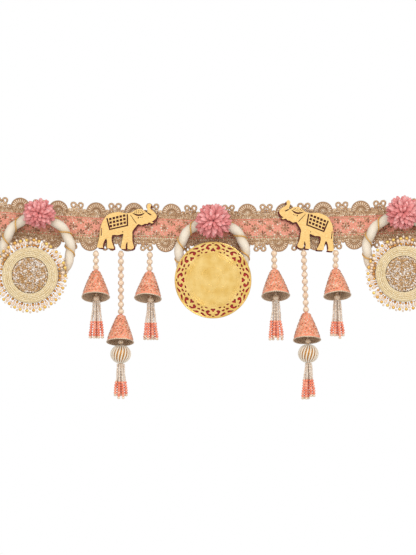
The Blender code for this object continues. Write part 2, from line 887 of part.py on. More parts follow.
def build_tassels(parent, beads, cream, pearl):
    ball = ball_mesh()
    ball.materials.append(cream)
    cone_of = {row[0]: row for row in STRINGS}
    for seed, (name, x, bead_z, top, change, tip, reach, spread, has_ball) in enumerate(TASSELS):
        apex_x, apex, tilt = (cone_of[name][column] for column in (2, 6, 9))
        hollow = STRING_DEPTH + CONE_CEILING * math.sin(math.radians(tilt))
        start = Vector((apex_x, hollow, apex - CONE_CEILING - STEM_DROP))
        if has_ball:
            base = build_ball(name, x, bead_z, start, ball, parent, pearl)
            depth = BALL_DEPTH
            stem = [(THREAD_RADIUS, Vector((0.0, 0.0, 0.0)))]
            bead = []
        else:
            base = start.z
            depth = hollow + MOUTH_BEAD_FORWARD
            stem = [(THREAD_RADIUS, Vector((apex_x - x, MOUTH_BEAD_FORWARD, 0.0)))]
            bead = bead_rows(bead_z - base, MOUTH_BEAD_RADIUS)[0:4]
        lengths = (
            (reach, change - base, SEED_HALF),
            (reach + CORAL_REACH, change - base - CORAL_STEP, CORAL_HALF),
            (spread, tip - base, CORAL_HALF),
        )
        mesh = tassel_mesh("tassel_" + name, stem, bead, top - base, lengths, seed)
        tassel = new_object("tassel_" + name, mesh, beads, parent)
        tassel.location = (x * MM, (WALL - depth) * MM, base * MM)


def build_toran():
    for obj in list(bpy.data.objects):
        bpy.data.objects.remove(obj, do_unlink=True)
    lace = new_material("brocade_lace", (0.80, 0.55, 0.42), 0.7)
    petal = new_material("petal_satin", (0.92, 0.42, 0.46), 0.55)
    cloth = new_material("cream_cloth", (0.88, 0.84, 0.74), 0.85)
    gold_cord = new_material("gold_cord", (0.76, 0.56, 0.22), 0.4, 0.8)
    gold = new_material("gold_sheet", (0.86, 0.66, 0.30), 0.3, 1.0)
    red = new_material("red_board", (0.40, 0.02, 0.03), 0.7)
    gold_bead = new_material("gold_bead", (0.80, 0.58, 0.24), 0.35, 0.7)
    cream_bead = new_material("cream_bead", (0.90, 0.84, 0.68), 0.4)
    clear_bead = new_material("clear_bead", (0.80, 0.72, 0.60), 0.2)
    pearl = new_material("pearl", (0.92, 0.86, 0.80), 0.25)
    coral = new_material("coral_bead", (0.93, 0.50, 0.42), 0.4)
    brocade = new_material("cone_brocade", (0.88, 0.45, 0.36), 0.7)

    origin = bpy.data.objects.new("toran_origin", None)
    bpy.context.scene.collection.objects.link(origin)
    build_band(origin, lace)
    build_rings(origin, cloth, gold_cord)
    build_flowers(origin, petal)
    build_gold_disc(origin, gold, red)
    build_pearl_discs(origin, gold_bead, cream_bead, clear_bead)
    build_elephants(origin, gold, red)
    build_strings(origin, pearl, brocade)
    build_tassels(origin, coral, cloth, pearl)


build_toran()
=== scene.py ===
"""Toran door hanging: the looks. Lengths are in millimetres in the tables and
formulas, and become metres in the mesh. X runs along the band, Z is up, and a depth
is the distance from the wall, which stands WALL behind the origin."""
import bmesh
import bpy
import math
import random
import numpy as np
from mathutils import Matrix, Vector
from mathutils.geometry import delaunay_2d_cdt

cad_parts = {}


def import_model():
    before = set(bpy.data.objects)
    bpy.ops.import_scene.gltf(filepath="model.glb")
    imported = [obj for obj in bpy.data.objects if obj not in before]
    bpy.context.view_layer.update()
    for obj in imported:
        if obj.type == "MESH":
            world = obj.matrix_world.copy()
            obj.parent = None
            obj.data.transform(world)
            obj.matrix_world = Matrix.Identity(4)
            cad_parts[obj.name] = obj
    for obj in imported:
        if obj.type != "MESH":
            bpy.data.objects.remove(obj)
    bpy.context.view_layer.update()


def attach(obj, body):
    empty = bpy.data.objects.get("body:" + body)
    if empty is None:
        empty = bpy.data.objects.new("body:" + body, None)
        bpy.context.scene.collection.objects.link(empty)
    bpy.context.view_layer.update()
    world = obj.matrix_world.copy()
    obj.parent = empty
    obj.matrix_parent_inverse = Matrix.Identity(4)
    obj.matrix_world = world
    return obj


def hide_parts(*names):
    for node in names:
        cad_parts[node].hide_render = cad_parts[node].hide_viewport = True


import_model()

MM = 0.001
WALL = 1.5
ALL = ("left", "centre", "right")

# Band, with v measured down from its top edge where the band doesn't sag
BAND_HALF = 240.0
HEM = 9.0
BAND_DEPTH = 1.5
SHEET_THICK = 0.7
REPEAT = 37.8
TOP_FAN_X = -3.5
LOW_FAN_X = -9.8
TOP_BASE = -9.4
LOW_BASE = -38.6
FIELD_TOP = -16.2
FIELD_LOW = -32.6
RIPPLE = 0.3
BAND_RISE = (
    (-240.0, 10.5), (-193.0, 7.0), (-155.0, 4.2), (-117.0, 2.2), (-63.0, 1.8), (-21.0, 0.1),
    (0.0, 0.0), (34.0, 0.9), (72.0, 1.6), (109.0, 3.0), (148.0, 4.0), (171.0, 5.0), (240.0, 9.0),
)

# Rings and discs: columns name, ring x, ring z, disc x, disc z
MOTIFS = {
    "left": (-175.2, -45.0, -182.0, -70.2),
    "centre": (-0.8, -49.0, 0.0, -75.0),
    "right": (186.4, -44.4, 189.6, -68.8),
}
RING_RADIUS = 33.0
RING_DEPTH = 8.7
DISC_DEPTH = 15.2


# Colours, worked out as linear values from what a screen shows

def tone(red, green, blue):
    """Linear colour from screen values of 0 to 255."""
    parts = []
    for value in (red, green, blue):
        share = value / 255.0
        parts.append(share / 12.92 if share <= 0.04045 else ((share + 0.055) / 1.055) ** 2.4)
    return (*parts, 1.0)


# Materials

class Look:
    """A Principled material and the nodes that colour and roughen it."""

    def __init__(self, name, roughness, metallic=0.0, sheen=0.0, coat=0.0, subsurface=0.0):
        self.mat = bpy.data.materials.new(name)
        self.mat.use_nodes = True
        self.nodes = self.mat.node_tree.nodes
        self.links = self.mat.node_tree.links
        self.shader = self.nodes["Principled BSDF"]
        self.set("Roughness", roughness)
        self.set("Metallic", metallic)
        self.set("Sheen Weight", sheen)
        self.set("Coat Weight", coat)
        self.set("Subsurface Weight", subsurface)
        self.coords = self.nodes.new("ShaderNodeTexCoord").outputs["Object"]
        self.height = None

    def set(self, socket, value):
        self.shader.inputs[socket].default_value = value

    def node(self, kind, **settings):
        node = self.nodes.new(kind)
        for key, value in settings.items():
            setattr(node, key, value)
        return node

    def noise(self, size, detail=3.0, stretch=(1.0, 1.0, 1.0), rough=0.5):
        """Noise whose features are about size millimetres across."""
        mapping = self.node("ShaderNodeMapping")
        mapping.inputs["Scale"].default_value = stretch
        noise = self.node("ShaderNodeTexNoise")
        noise.inputs["Scale"].default_value = 1.0 / (size * MM)
        noise.inputs["Detail"].default_value = detail
        noise.inputs["Roughness"].default_value = rough
        self.links.new(self.coords, mapping.inputs["Vector"])
        self.links.new(mapping.outputs[0], noise.inputs["Vector"])
        return noise.outputs["Fac"]

    def cells(self, size, stretch=(1.0, 1.0, 1.0), turn=(0.0, 0.0, 0.0), output="Distance"):
        mapping = self.node("ShaderNodeMapping")
        mapping.inputs["Scale"].default_value = stretch
        mapping.inputs["Rotation"].default_value = turn
        cells = self.node("ShaderNodeTexVoronoi")
        cells.inputs["Scale"].default_value = 1.0 / (size * MM)
        self.links.new(self.coords, mapping.inputs["Vector"])
        self.links.new(mapping.outputs[0], cells.inputs["Vector"])
        return cells.outputs[output]

    def waves(self, pitch, direction="X", distortion=0.0, source=None):
        """Even ridges at a pitch in millimetres along one axis."""
        wave = self.node("ShaderNodeTexWave", bands_direction=direction)
        wave.inputs["Scale"].default_value = math.pi / 10.0 / (pitch * MM)
        wave.inputs["Distortion"].default_value = distortion
        self.links.new(source or self.coords, wave.inputs["Vector"])
        return wave.outputs["Fac"]

    def attribute(self, name):
        return self.node("ShaderNodeAttribute", attribute_name=name).outputs["Fac"]

    def ramp(self, factor, *stops):
        """Colours at positions 0 to 1 of a factor: (position, colour) pairs."""
        ramp = self.node("ShaderNodeValToRGB")
        elements = ramp.color_ramp.elements
        while len(elements) < len(stops):
            elements.new(0.5)
        for element, (position, colour) in zip(elements, stops):
            element.position = position
            element.color = colour
        self.links.new(factor, ramp.inputs["Fac"])
        return ramp.outputs["Color"]

    def mix(self, factor, first, second, blend="MIX"):
        mix = self.node("ShaderNodeMix", data_type="RGBA", blend_type=blend)
        for index, value in ((0, factor), (6, first), (7, second)):
            if isinstance(value, (int, float, tuple)):
                mix.inputs[index].default_value = value
            else:
                self.links.new(value, mix.inputs[index])
        return mix.outputs[2]

    def math(self, operation, first, second=0.0):
        node = self.node("ShaderNodeMath", operation=operation)
        for index, value in ((0, first), (1, second)):
            if isinstance(value, (int, float)):
                node.inputs[index].default_value = value
            else:
                self.links.new(value, node.inputs[index])
        return node.outputs[0]

    def colour(self, output):
        self.links.new(output, self.shader.inputs["Base Color"])
        return self

    def rough(self, factor, low, high):
        """Roughness between low and high by a factor."""
        spread = self.node("ShaderNodeMapRange")
        spread.inputs["To Min"].default_value = low
        spread.inputs["To Max"].default_value = high
        self.links.new(factor, spread.inputs["Value"])
        self.links.new(spread.outputs[0], self.shader.inputs["Roughness"])
        return self

    def bump(self, factor, height, strength=1.0):
        """Raised by height millimetres where the factor is 1."""
        bump = self.node("ShaderNodeBump")
        bump.inputs["Distance"].default_value = height * MM
        bump.inputs["Strength"].default_value = strength
        self.links.new(factor, bump.inputs["Height"])
        if self.height is not None:
            self.links.new(self.height, bump.inputs["Normal"])
        self.height = bump.outputs[0]
        self.links.new(self.height, self.shader.inputs["Normal"])
        return self


def make_looks():
    looks = {}

    ground = Look("brocade_ground", 0.62, sheen=0.2)
    pink = ground.ramp(
        ground.noise(2.2), (0.25, tone(226, 148, 124)), (0.55, tone(240, 160, 136)), (0.8,
            tone(248, 172, 150)))
    thread = ground.ramp(
        ground.noise(1.0, 2.0, (1.0, 1.0, 2.0)), (0.48, tone(255, 255, 255)), (0.62, tone(206, 176, 140)))
    ground.colour(ground.mix(0.6, pink, thread, "MULTIPLY"))
    ground.bump(ground.waves(0.62, "X"), 0.10, 0.7)
    ground.bump(ground.waves(0.5, "Z"), 0.08, 0.6)
    looks["ground"] = ground

    border = Look("brocade_border", 0.6, metallic=0.1, sheen=0.2)
    border.colour(border.ramp(
        border.noise(1.5, 4.0), (0.32, tone(112, 78, 52)), (0.45, tone(178, 136, 98)),
        (0.58, tone(206, 172, 132)), (0.7, tone(240, 220, 190))))
    border.bump(border.waves(0.7, "X", 2.0), 0.12, 0.8)
    looks["border"] = border

    zari = Look("metallic_thread", 0.45, metallic=0.2, sheen=0.2)
    shade = zari.ramp(
        zari.attribute("shade"),
        (0.0, tone(122, 84, 54)), (0.3, tone(184, 140, 98)), (0.65, tone(222, 192, 154)), (1.0,
            tone(250, 240, 224)))
    speck = zari.ramp(zari.noise(0.9, 3.0), (0.35, tone(176, 146, 116)), (0.55, tone(255, 255, 255)))
    zari.colour(zari.mix(0.6, shade, speck, "MULTIPLY"))
    zari.bump(zari.noise(0.35, 2.0), 0.08, 0.8)
    looks["zari"] = zari

    stitch = Look("coral_stitch", 0.6, sheen=0.3)
    stitch.colour(stitch.ramp(stitch.attribute("shade"), (0.0, tone(206, 104, 84)),
        (1.0, tone(240, 140, 118))))
    stitch.bump(stitch.noise(0.3), 0.06)
    looks["stitch"] = stitch

    petal = Look("petal_satin", 0.5, sheen=0.4, subsurface=0.12)
    petal.set("Subsurface Radius", (0.003, 0.0012, 0.001))
    deep = petal.ramp(
        petal.attribute("shade"),
        (0.0, tone(184, 82, 82)), (0.35, tone(224, 128, 124)), (0.7, tone(244, 166, 162)), (1.0,
            tone(254, 206, 200)))
    petal.colour(petal.mix(0.3, deep, petal.ramp(
        petal.noise(1.6), (0.3, tone(214, 180, 190)), (0.7, tone(255, 255, 255))), "MULTIPLY"))
    petal.bump(petal.noise(0.7, 3.0), 0.12, 0.6)
    looks["petal"] = petal

    cloth = Look("cream_cloth", 0.8, sheen=0.2)
    cloth.colour(cloth.ramp(
        cloth.attribute("shade"), (0.0, tone(178, 156, 124)), (0.5, tone(226, 210, 186)), (1.0,
            tone(244, 234, 218))))
    cloth.bump(cloth.noise(0.6, 3.0), 0.1, 0.6)
    looks["cloth"] = cloth

    gold_cord = Look("gold_cord", 0.4, metallic=0.4)
    gold_cord.colour(gold_cord.ramp(
        gold_cord.attribute("shade"), (0.0, tone(168, 106, 30)), (0.6, tone(220, 160, 66)), (1.0,
            tone(246, 206, 124))))
    gold_cord.bump(gold_cord.noise(0.3), 0.05)
    looks["gold_cord"] = gold_cord

    gold = Look("gold_sheet", 0.26, metallic=1.0)
    gold.colour(gold.ramp(
        gold.noise(9.0, 2.0), (0.3, tone(232, 190, 104)), (0.7, tone(248, 214, 138))))
    gold.rough(gold.noise(3.0, 4.0), 0.22, 0.36)
    gold.bump(gold.noise(0.6, 4.0), 0.02, 0.5)
    looks["gold"] = gold

    wood = Look("elephant_gold", 0.42, metallic=0.2, coat=0.15)
    wood.colour(wood.ramp(
        wood.noise(2.6, 5.0, (1.0, 1.0, 2.2)), (0.3, tone(232, 184, 108)), (0.55, tone(242, 200, 124)),
        (0.8, tone(248, 214, 146))))
    wood.bump(wood.noise(0.7, 4.0), 0.03, 0.5)
    looks["wood"] = wood

    red = Look("red_board", 0.55)
    red.colour(red.ramp(red.noise(1.8, 4.0), (0.3, tone(136, 6, 10)), (0.7, tone(192, 16, 20))))
    red.bump(red.noise(0.8), 0.05)
    looks["red"] = red

    maroon = Look("maroon_board", 0.6)
    maroon.colour(maroon.ramp(maroon.noise(1.8, 4.0), (0.3, tone(78, 8, 8)), (0.7, tone(122, 14, 14))))
    maroon.bump(maroon.noise(0.8), 0.05)
    looks["maroon"] = maroon

    edge = Look("burnt_board", 0.7)
    edge.colour(edge.ramp(edge.noise(1.2, 4.0), (0.3, tone(44, 12, 8)), (0.7, tone(92, 26, 16))))
    edge.bump(edge.noise(0.6), 0.05)
    looks["burnt"] = edge

    pearl = Look("pearl", 0.24, coat=0.5, subsurface=0.1)
    pearl.set("Subsurface Radius", (0.002, 0.0015, 0.001))
    pearl.colour(pearl.ramp(
        pearl.noise(2.5, 2.0), (0.3, tone(222, 190, 156)), (0.5, tone(236, 208, 178)), (0.7,
            tone(244, 224, 200))))
    pearl.bump(pearl.noise(1.2, 2.0), 0.02, 0.4)
    looks["pearl"] = pearl

    bead = Look("cream_bead", 0.38, coat=0.2)
    bead.colour(bead.ramp(
        bead.attribute("shade"), (0.0, tone(206, 180, 130)), (0.5, tone(236, 216, 174)), (1.0,
            tone(246, 232, 202))))
    bead.bump(bead.noise(0.5), 0.02, 0.5)
    looks["cream_bead"] = bead

    amber = Look("gold_bead", 0.22, metallic=0.35, coat=0.5)
    amber.colour(amber.ramp(
        amber.attribute("shade"), (0.0, tone(198, 128, 46)), (0.5, tone(228, 172, 78)), (1.0,
            tone(242, 206, 112))))
    amber.bump(amber.noise(0.6), 0.02, 0.4)
    looks["gold_bead"] = amber

    crystal = Look("mixed_bead", 0.2, metallic=0.1, coat=0.6)
    crystal.colour(crystal.ramp(
        crystal.attribute("shade"),
        (0.0, tone(186, 134, 72)), (0.3, tone(212, 172, 120)), (0.55, tone(214, 192, 166)),
        (0.8, tone(226, 210, 196)), (1.0, tone(244, 236, 228))))
    crystal.bump(crystal.noise(0.5), 0.03, 0.5)
    looks["crystal"] = crystal

    clear = Look("white_seed_bead", 0.2, coat=0.6, subsurface=0.15)
    clear.set("Subsurface Radius", (0.001, 0.001, 0.001))
    clear.colour(clear.ramp(
        clear.attribute("shade"), (0.0, tone(204, 170, 138)), (0.45, tone(228, 204, 180)), (1.0,
            tone(246, 232, 216))))
    clear.bump(clear.noise(0.5), 0.02, 0.5)
    looks["clear"] = clear

    coral = Look("coral_seed_bead", 0.28, coat=0.5)
    coral.colour(coral.ramp(
        coral.attribute("shade"), (0.0, tone(228, 112, 76)), (0.5, tone(246, 142, 108)), (1.0,
            tone(252, 172, 140))))
    coral.bump(coral.noise(0.5), 0.02, 0.5)
    looks["coral"] = coral

    cone = Look("cone_brocade", 0.55, sheen=0.2)
    base = cone.ramp(
        cone.noise(4.0, 3.0), (0.3, tone(232, 132, 98)), (0.55, tone(244, 152, 116)), (0.8,
            tone(250, 170, 136)))
    mask = cone.ramp(cone.cells(2.3, (1.0, 1.0, 0.6), (0.0, 0.5, 0.3)), (0.24, (1, 1, 1, 1)),
        (0.36, (0, 0, 0, 1)))
    cone.colour(cone.mix(cone.math("MULTIPLY", mask, 0.5), base, tone(240, 212, 170)))
    cone.bump(mask, 0.18, 0.7)
    cone.bump(cone.waves(0.6, "Z", 1.0), 0.06, 0.6)
    looks["cone"] = cone

    inside = Look("cone_lining", 0.85)
    inside.colour(inside.ramp(inside.noise(1.5, 3.0), (0.3, tone(176, 146, 118)), (0.7, tone(208, 182, 154))))
    inside.bump(inside.waves(0.7, "Z", 0.6), 0.08)
    looks["inside"] = inside

    return looks


# Mesh making

class Pile:
    """Gathers many small shapes into one mesh, each with a shade of its own."""

    def __init__(self):
        self.points = []
        self.faces = []
        self.shades = []
        self.slots = []
        self.count = 0

    def add(self, points, faces, shade=0.5, slot=0):
        points = np.asarray(points, dtype=float)
        self.points.append(points)
        self.faces.extend([tuple(index + self.count for index in face) for face in faces])
        shade = np.full(len(points), shade) if np.isscalar(shade) else np.asarray(shade)
        self.shades.append(shade)
        self.slots.extend([slot] * len(faces))
        self.count += len(points)

    def piece(self, name, looks, smooth=True):
        mesh = bpy.data.meshes.new(name)
        points = np.concatenate(self.points) * MM
        mesh.from_pydata(points.tolist(), [], self.faces)
        layer = mesh.attributes.new("shade", "FLOAT", "POINT")
        layer.data.foreach_set("value", np.concatenate(self.shades).astype(np.float32))
        for look in looks:
            mesh.materials.append(look.mat)
        mesh.polygons.foreach_set("material_index", self.slots)
        if smooth:
            mesh.shade_smooth()
        mesh.validate()
        shape = bmesh.new()
        shape.from_mesh(mesh)
        bmesh.ops.recalc_face_normals(shape, faces=shape.faces)
        shape.to_mesh(mesh)
        shape.free()
        obj = bpy.data.objects.new(name, mesh)
        bpy.context.scene.collection.objects.link(obj)
        return obj


def world(x, z, depth):
    """A spot on the wall plan, as a point in millimetres."""
    return np.stack(np.broadcast_arrays(x, WALL - np.asarray(depth, dtype=float), z), axis=-1)


def ball(sides=8, rows=6):
    """Unit ball as points and faces."""
    points = [(0.0, 0.0, 1.0)]
    for row in range(1, rows):
        polar = math.pi * row / rows
        for side in range(sides):
            turn = 2.0 * math.pi * side / sides
            points.append((math.sin(polar) * math.cos(turn), math.sin(polar) * math.sin(turn),
                math.cos(polar)))
    points.append((0.0, 0.0, -1.0))
    faces = []
    last = len(points) - 1
    for side in range(sides):
        after = (side + 1) % sides
        faces.append((0, 1 + side, 1 + after))
        for row in range(rows - 2):
            here = 1 + row * sides
            faces.append((here + side, here + sides + side, here + sides + after, here + after))
        here = 1 + (rows - 2) * sides
        faces.append((here + side, last, here + after))
    return np.array(points), faces


BALL_FINE = ball(20, 14)
BALL_MID = ball(10, 7)
BALL_SMALL = ball(7, 5)


def bead(pile, centre, radii, shape=BALL_SMALL, turn=None, shade=0.5, slot=0):
    points = shape[0] * np.asarray(radii)
    if turn is not None:
        points = points @ np.array(turn).T
    pile.add(points + np.asarray(centre), shape[1], shade, slot)


def spin_y(angle):
    """Rotation in the plane of the wall, by an angle that turns +X towards +Z."""
    return Matrix.Rotation(-angle, 3, "Y")


def grid_faces(rows, columns, wrap_rows=False, wrap_columns=False):
    faces = []
    for row in range(rows if wrap_rows else rows - 1):
        below = (row + 1) % rows
        for column in range(columns if wrap_columns else columns - 1):
            beside = (column + 1) % columns
            faces.append((
                row * columns + column, row * columns + beside,
                below * columns + beside, below * columns + column))
    return faces


def tube(pile, path, radius, sides=6, closed=False, shade=0.5, slot=0):
    """Round tube along a path of points; radius and shade may vary along it."""
    path = np.asarray(path, dtype=float)
    count = len(path)
    radius = np.broadcast_to(radius, count)
    if closed:
        along = np.roll(path, -1, axis=0) - np.roll(path, 1, axis=0)
    else:
        along = np.gradient(path, axis=0)
    along /= np.linalg.norm(along, axis=1, keepdims=True)
    up = np.array((0.0, -1.0, 0.0))
    across = np.cross(along, up)
    weak = np.linalg.norm(across, axis=1) < 0.05
    across[weak] = np.cross(along[weak], np.array((1.0, 0.0, 0.0)))
    across /= np.linalg.norm(across, axis=1, keepdims=True)
    over = np.cross(across, along)
    turns = 2.0 * np.pi * np.arange(sides) / sides
    ring = across[:, None] * np.cos(turns)[None, :, None] + over[:, None] * np.sin(turns)[None, :, None]
    points = (path[:, None] + ring * radius[:, None, None]).reshape(-1, 3)
    faces = [face[::-1] for face in grid_faces(count, sides, closed, True)]
    if not closed:
        faces.append(tuple(range(sides)))
        faces.append(tuple(range(count * sides - 1, (count - 1) * sides - 1, -1)))
    shade = np.repeat(np.broadcast_to(shade, count), sides)
    pile.add(points, faces, shade, slot)


def smooth_table(table, x):
    """Height of a smooth curve through the table's points."""
    if x <= table[0][0]:
        return table[0][1]
    for (x0, h0), (x1, h1) in zip(table, table[1:]):
        if x <= x1:
            share = (x - x0) / (x1 - x0)
            blend = share * share * (3.0 - 2.0 * share)
            return 0.5 * ((h0 + (h1 - h0) * share) + (h0 + (h1 - h0) * blend))
    return table[-1][1]


RISE_X = np.linspace(-BAND_HALF, BAND_HALF, 481)
RISE_Z = np.array([smooth_table(BAND_RISE, x) for x in RISE_X])


def band_spot(x, v, lift=0.0):
    """Point on the band: x along it, v down from its top edge, lift in front of it."""
    x = np.asarray(x, dtype=float)
    v = np.asarray(v, dtype=float)
    z = v + np.interp(x, RISE_X, RISE_Z)
    wave = np.sin(x / 23.0) + 0.5 * np.sin(x / 9.0 + z / 14.0)
    return world(x, z, BAND_DEPTH + RIPPLE * wave + np.asarray(lift, dtype=float))


def closed_sheet(pile, front, back, shade=0.5, slot=0):
    """Thin closed sheet from two grids of points, rows by columns, front and back."""
    rows, columns = front.shape[0:2]
    count = rows * columns
    faces = grid_faces(rows, columns)
    faces = [face[::-1] for face in faces] + [tuple(i + count for i in face) for face in faces]
    border = [column for column in range(columns)]
    border += [row * columns + columns - 1 for row in range(1, rows)]
    border += [(rows - 1) * columns + column for column in range(columns - 2, -1, -1)]
    border += [row * columns for row in range(rows - 2, 0, -1)]
    for here, after in zip(border, border[1:] + border[:1]):
        faces.append((here, after, after + count, here + count))
    pile.add(np.concatenate((front.reshape(-1, 3), back.reshape(-1, 3))), faces, shade, slot)


def repeats(fan_x, reach=BAND_HALF - HEM):
    """Centres of the fans that fit whole on the band."""
    first = math.ceil((-reach + 9.4 - fan_x) / REPEAT)
    last = math.floor((reach - 9.4 - fan_x) / REPEAT)
    return [fan_x + REPEAT * index for index in range(first, last + 1)]


# Band

def build_band(looks):
    half = SHEET_THICK / 2.0
    pile = Pile()
    columns = 241
    xs = np.linspace(-BAND_HALF, BAND_HALF, columns)
    vs = np.array([TOP_BASE + 1.2, TOP_BASE - 1.6, TOP_BASE - 4.2, FIELD_TOP + 1.2]
                  + list(np.linspace(FIELD_TOP - 0.5, FIELD_LOW + 0.5, 6))
                  + [FIELD_LOW - 1.2, FIELD_LOW - 3.6, LOW_BASE - 1.2])
    grid_x, grid_v = np.meshgrid(xs, vs)
    front = band_spot(grid_x, grid_v, half)
    back = band_spot(grid_x, grid_v, -half)
    closed_sheet(pile, front, back)
    rows = len(vs)
    per_side = (rows - 1) * (columns - 1)
    slots = np.zeros(len(pile.faces), dtype=int)
    row_slot = [1 if (row < 3 or row > 8) else 0 for row in range(rows - 1)]
    for side in range(2):
        for row in range(rows - 1):
            start = side * per_side + row * (columns - 1)
            slots[start:start + columns - 1] = row_slot[row]
    pile.slots = slots.tolist()
    ground = pile.piece("band_ground", [looks["ground"], looks["border"]])

    trims = [build_scallops(looks), build_border_braid(looks), build_rosettes(looks), build_hems(looks)]
    for piece in trims + [ground]:
        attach(piece, "root")
        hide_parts("band_lace")


def fan(pile, x, base_v, sign, chance):
    """Shell of metallic ribs that open out of a small arc, edged by a cord."""
    ribs = 11
    steps = ribs * 4 + 1
    turns = np.linspace(math.radians(4.0), math.radians(176.0), steps)
    reaches = np.array([2.6, 4.4, 5.2, 6.6, 8.2, 9.0])
    turn_grid, reach_grid = np.meshgrid(turns, reaches)
    phase = (np.arange(steps) % 4) / 4.0
    ridge = 0.5 - 0.5 * np.cos(2.0 * np.pi * phase)
    lift = 0.3 + 0.65 * ridge[None, :] * np.clip((reach_grid - 2.0) / 3.0, 0.3, 1.0)
    xs = x + reach_grid * np.cos(turn_grid)
    vs = base_v + sign * reach_grid * np.sin(turn_grid)
    front = band_spot(xs, vs, lift)
    back = band_spot(xs, vs, -0.3)
    # Painted shade: the grooves between the raised ribs are painted dark and the rib crests light; the paler
    # outer half of the ribs is the thread's own tone. The back sheet is painted darker still, at 0.6 of the
    # front's shade.
    pale = np.where(reach_grid > 4.8, 1.0, 0.55)
    shade = (0.1 + 0.88 * ridge[None, :] * pale).ravel()
    shade = np.concatenate((shade, shade * 0.6)) + chance.uniform(-0.08, 0.02)
    if sign > 0:
        front = front[:, ::-1]
        back = back[:, ::-1]
    closed_sheet(pile, front, back, np.clip(shade, 0.0, 1.0))
    for reach, size, lift, middle in ((9.0, 0.85, 0.35, 0.3), (2.5, 0.6, 0.5, 0.5), (4.8, 0.45, 0.95, 0.28)):
        count = int(reach * 5.5)
        arc = np.linspace(0.0, math.pi, count)
        path = band_spot(x + reach * np.cos(arc), base_v + sign * reach * np.sin(arc), lift)
        # Painted shade: each cord is lighter where its twist swells and darker where it pinches in.
        twist = np.cos(np.arange(count) * math.pi)
        tube(pile, path, size * (1.0 + 0.22 * twist), 6, shade=middle + 0.18 * twist)
    bead(pile, band_spot(x, base_v + sign * 0.9, 0.6), (1.3, 0.7, 1.1), BALL_SMALL, shade=0.75)


def picots(pile, x, base_v, sign, chance):
    """Twin cord loops on a small footing between two fans."""
    for offset in (-3.6, 3.6):
        count = 18
        turns = 2.0 * math.pi * np.arange(count) / count
        size = chance.uniform(0.92, 1.04)
        squeeze = chance.uniform(0.84, 1.0)
        xs = x + offset + 2.2 * size * squeeze * np.cos(turns) + 0.3 * np.sin(2.0 * turns)
        vs = base_v + sign * (5.9 + 2.5 * size * np.sin(turns))
        lift = 0.3 + 0.1 * math.copysign(1.0, offset)
        # Painted shade: each loop cord is lighter where its twist swells and darker where it pinches in.
        twist = np.cos(np.arange(count) * math.pi)
        tube(pile, band_spot(xs, vs, lift), 1.1 * (1.0 + 0.16 * twist), 7, True, 0.42 + 0.24 * twist)
    spots = ((-3.6, 2.2, 2.4), (3.6, 2.2, 2.4), (0.0, 2.6, 1.6), (-7.6, 1.3, 1.8), (7.6, 1.3, 1.8),
        (0.0, 5.6, 1.0))
    for offset, v, width in spots:
        centre = band_spot(x + offset, base_v + sign * v, 0.25)
        bead(pile, centre, (width, 0.75, 1.5), BALL_MID, shade=chance.uniform(0.2, 0.7))
    for offset in np.arange(-8.5, 8.6, 1.7):
        centre = band_spot(x + offset, base_v + sign * 0.6, 0.5)
        bead(pile, centre, (0.85, 0.5, 0.8), BALL_SMALL, shade=chance.uniform(0.1, 0.9))


def build_scallops(looks):
    chance = random.Random(2)
    pile = Pile()
    for fan_x, base_v, sign in ((TOP_FAN_X, TOP_BASE, 1.0), (LOW_FAN_X, LOW_BASE, -1.0)):
        centres = repeats(fan_x)
        for x in centres:
            fan(pile, x, base_v, sign, chance)
        for x in [centre + REPEAT / 2.0 for centre in centres] + [centres[0] - REPEAT / 2.0]:
            if abs(x) < BAND_HALF - HEM - 9.0:
                picots(pile, x, base_v, sign, chance)
    return pile.piece("band_scallops", [looks["zari"]])


def build_border_braid(looks):
    """Rows of slanted thread turns and coral stitches along both borders."""
    chance = random.Random(4)
    pile = Pile()
    # columns v, pitch, half length, half height, slant in degrees, middle shade, slot
    rows = (
        (TOP_BASE - 0.2, 1.9, 1.15, 0.62, 35.0, 0.62, 0),
        (TOP_BASE - 1.9, 1.9, 1.15, 0.62, -35.0, 0.45, 0),
        (TOP_BASE - 4.9, 2.4, 1.3, 0.7, 25.0, 0.58, 0),
        (TOP_BASE - 6.2, 3.9, 1.35, 0.5, 0.0, 0.5, 1),
        (FIELD_TOP - 0.2, 2.1, 1.1, 0.5, -25.0, 0.6, 0),
        (FIELD_LOW + 0.3, 2.1, 1.1, 0.5, 25.0, 0.6, 0),
        (FIELD_LOW - 1.0, 3.9, 1.35, 0.5, 0.0, 0.5, 1),
        (FIELD_LOW - 2.2, 2.4, 1.3, 0.65, -25.0, 0.58, 0),
        (LOW_BASE + 1.6, 1.9, 1.15, 0.62, 35.0, 0.45, 0),
        (LOW_BASE + 0.1, 1.9, 1.15, 0.62, -35.0, 0.62, 0),
    )
    for v, pitch, length, height, slant, middle, slot in rows:
        turn = spin_y(math.radians(slant))
        for x in np.arange(-BAND_HALF + 3.0, BAND_HALF - 2.5, pitch):
            centre = band_spot(x, v, 0.45)
            shade = middle + chance.uniform(-0.28, 0.28)
            bead(pile, centre, (length, 0.42, height), BALL_SMALL, turn, shade, slot)
    for x in np.arange(-BAND_HALF + 4.0, BAND_HALF - 3.0, 3.9):
        for offset in (-0.95, 0.95):
            turn = spin_y(math.radians(58.0 * math.copysign(1.0, offset)))
            centre = band_spot(x + offset, TOP_BASE - 3.4, 0.5)
            bead(pile, centre, (1.1, 0.4, 0.42), BALL_SMALL, turn, chance.uniform(0.4, 0.9))
            centre = band_spot(x + offset, LOW_BASE + 3.0, 0.5)
            bead(pile, centre, (1.1, 0.4, 0.42), BALL_SMALL, turn, chance.uniform(0.4, 0.9))
    return pile.piece("band_braid", [looks["zari"], looks["stitch"]])


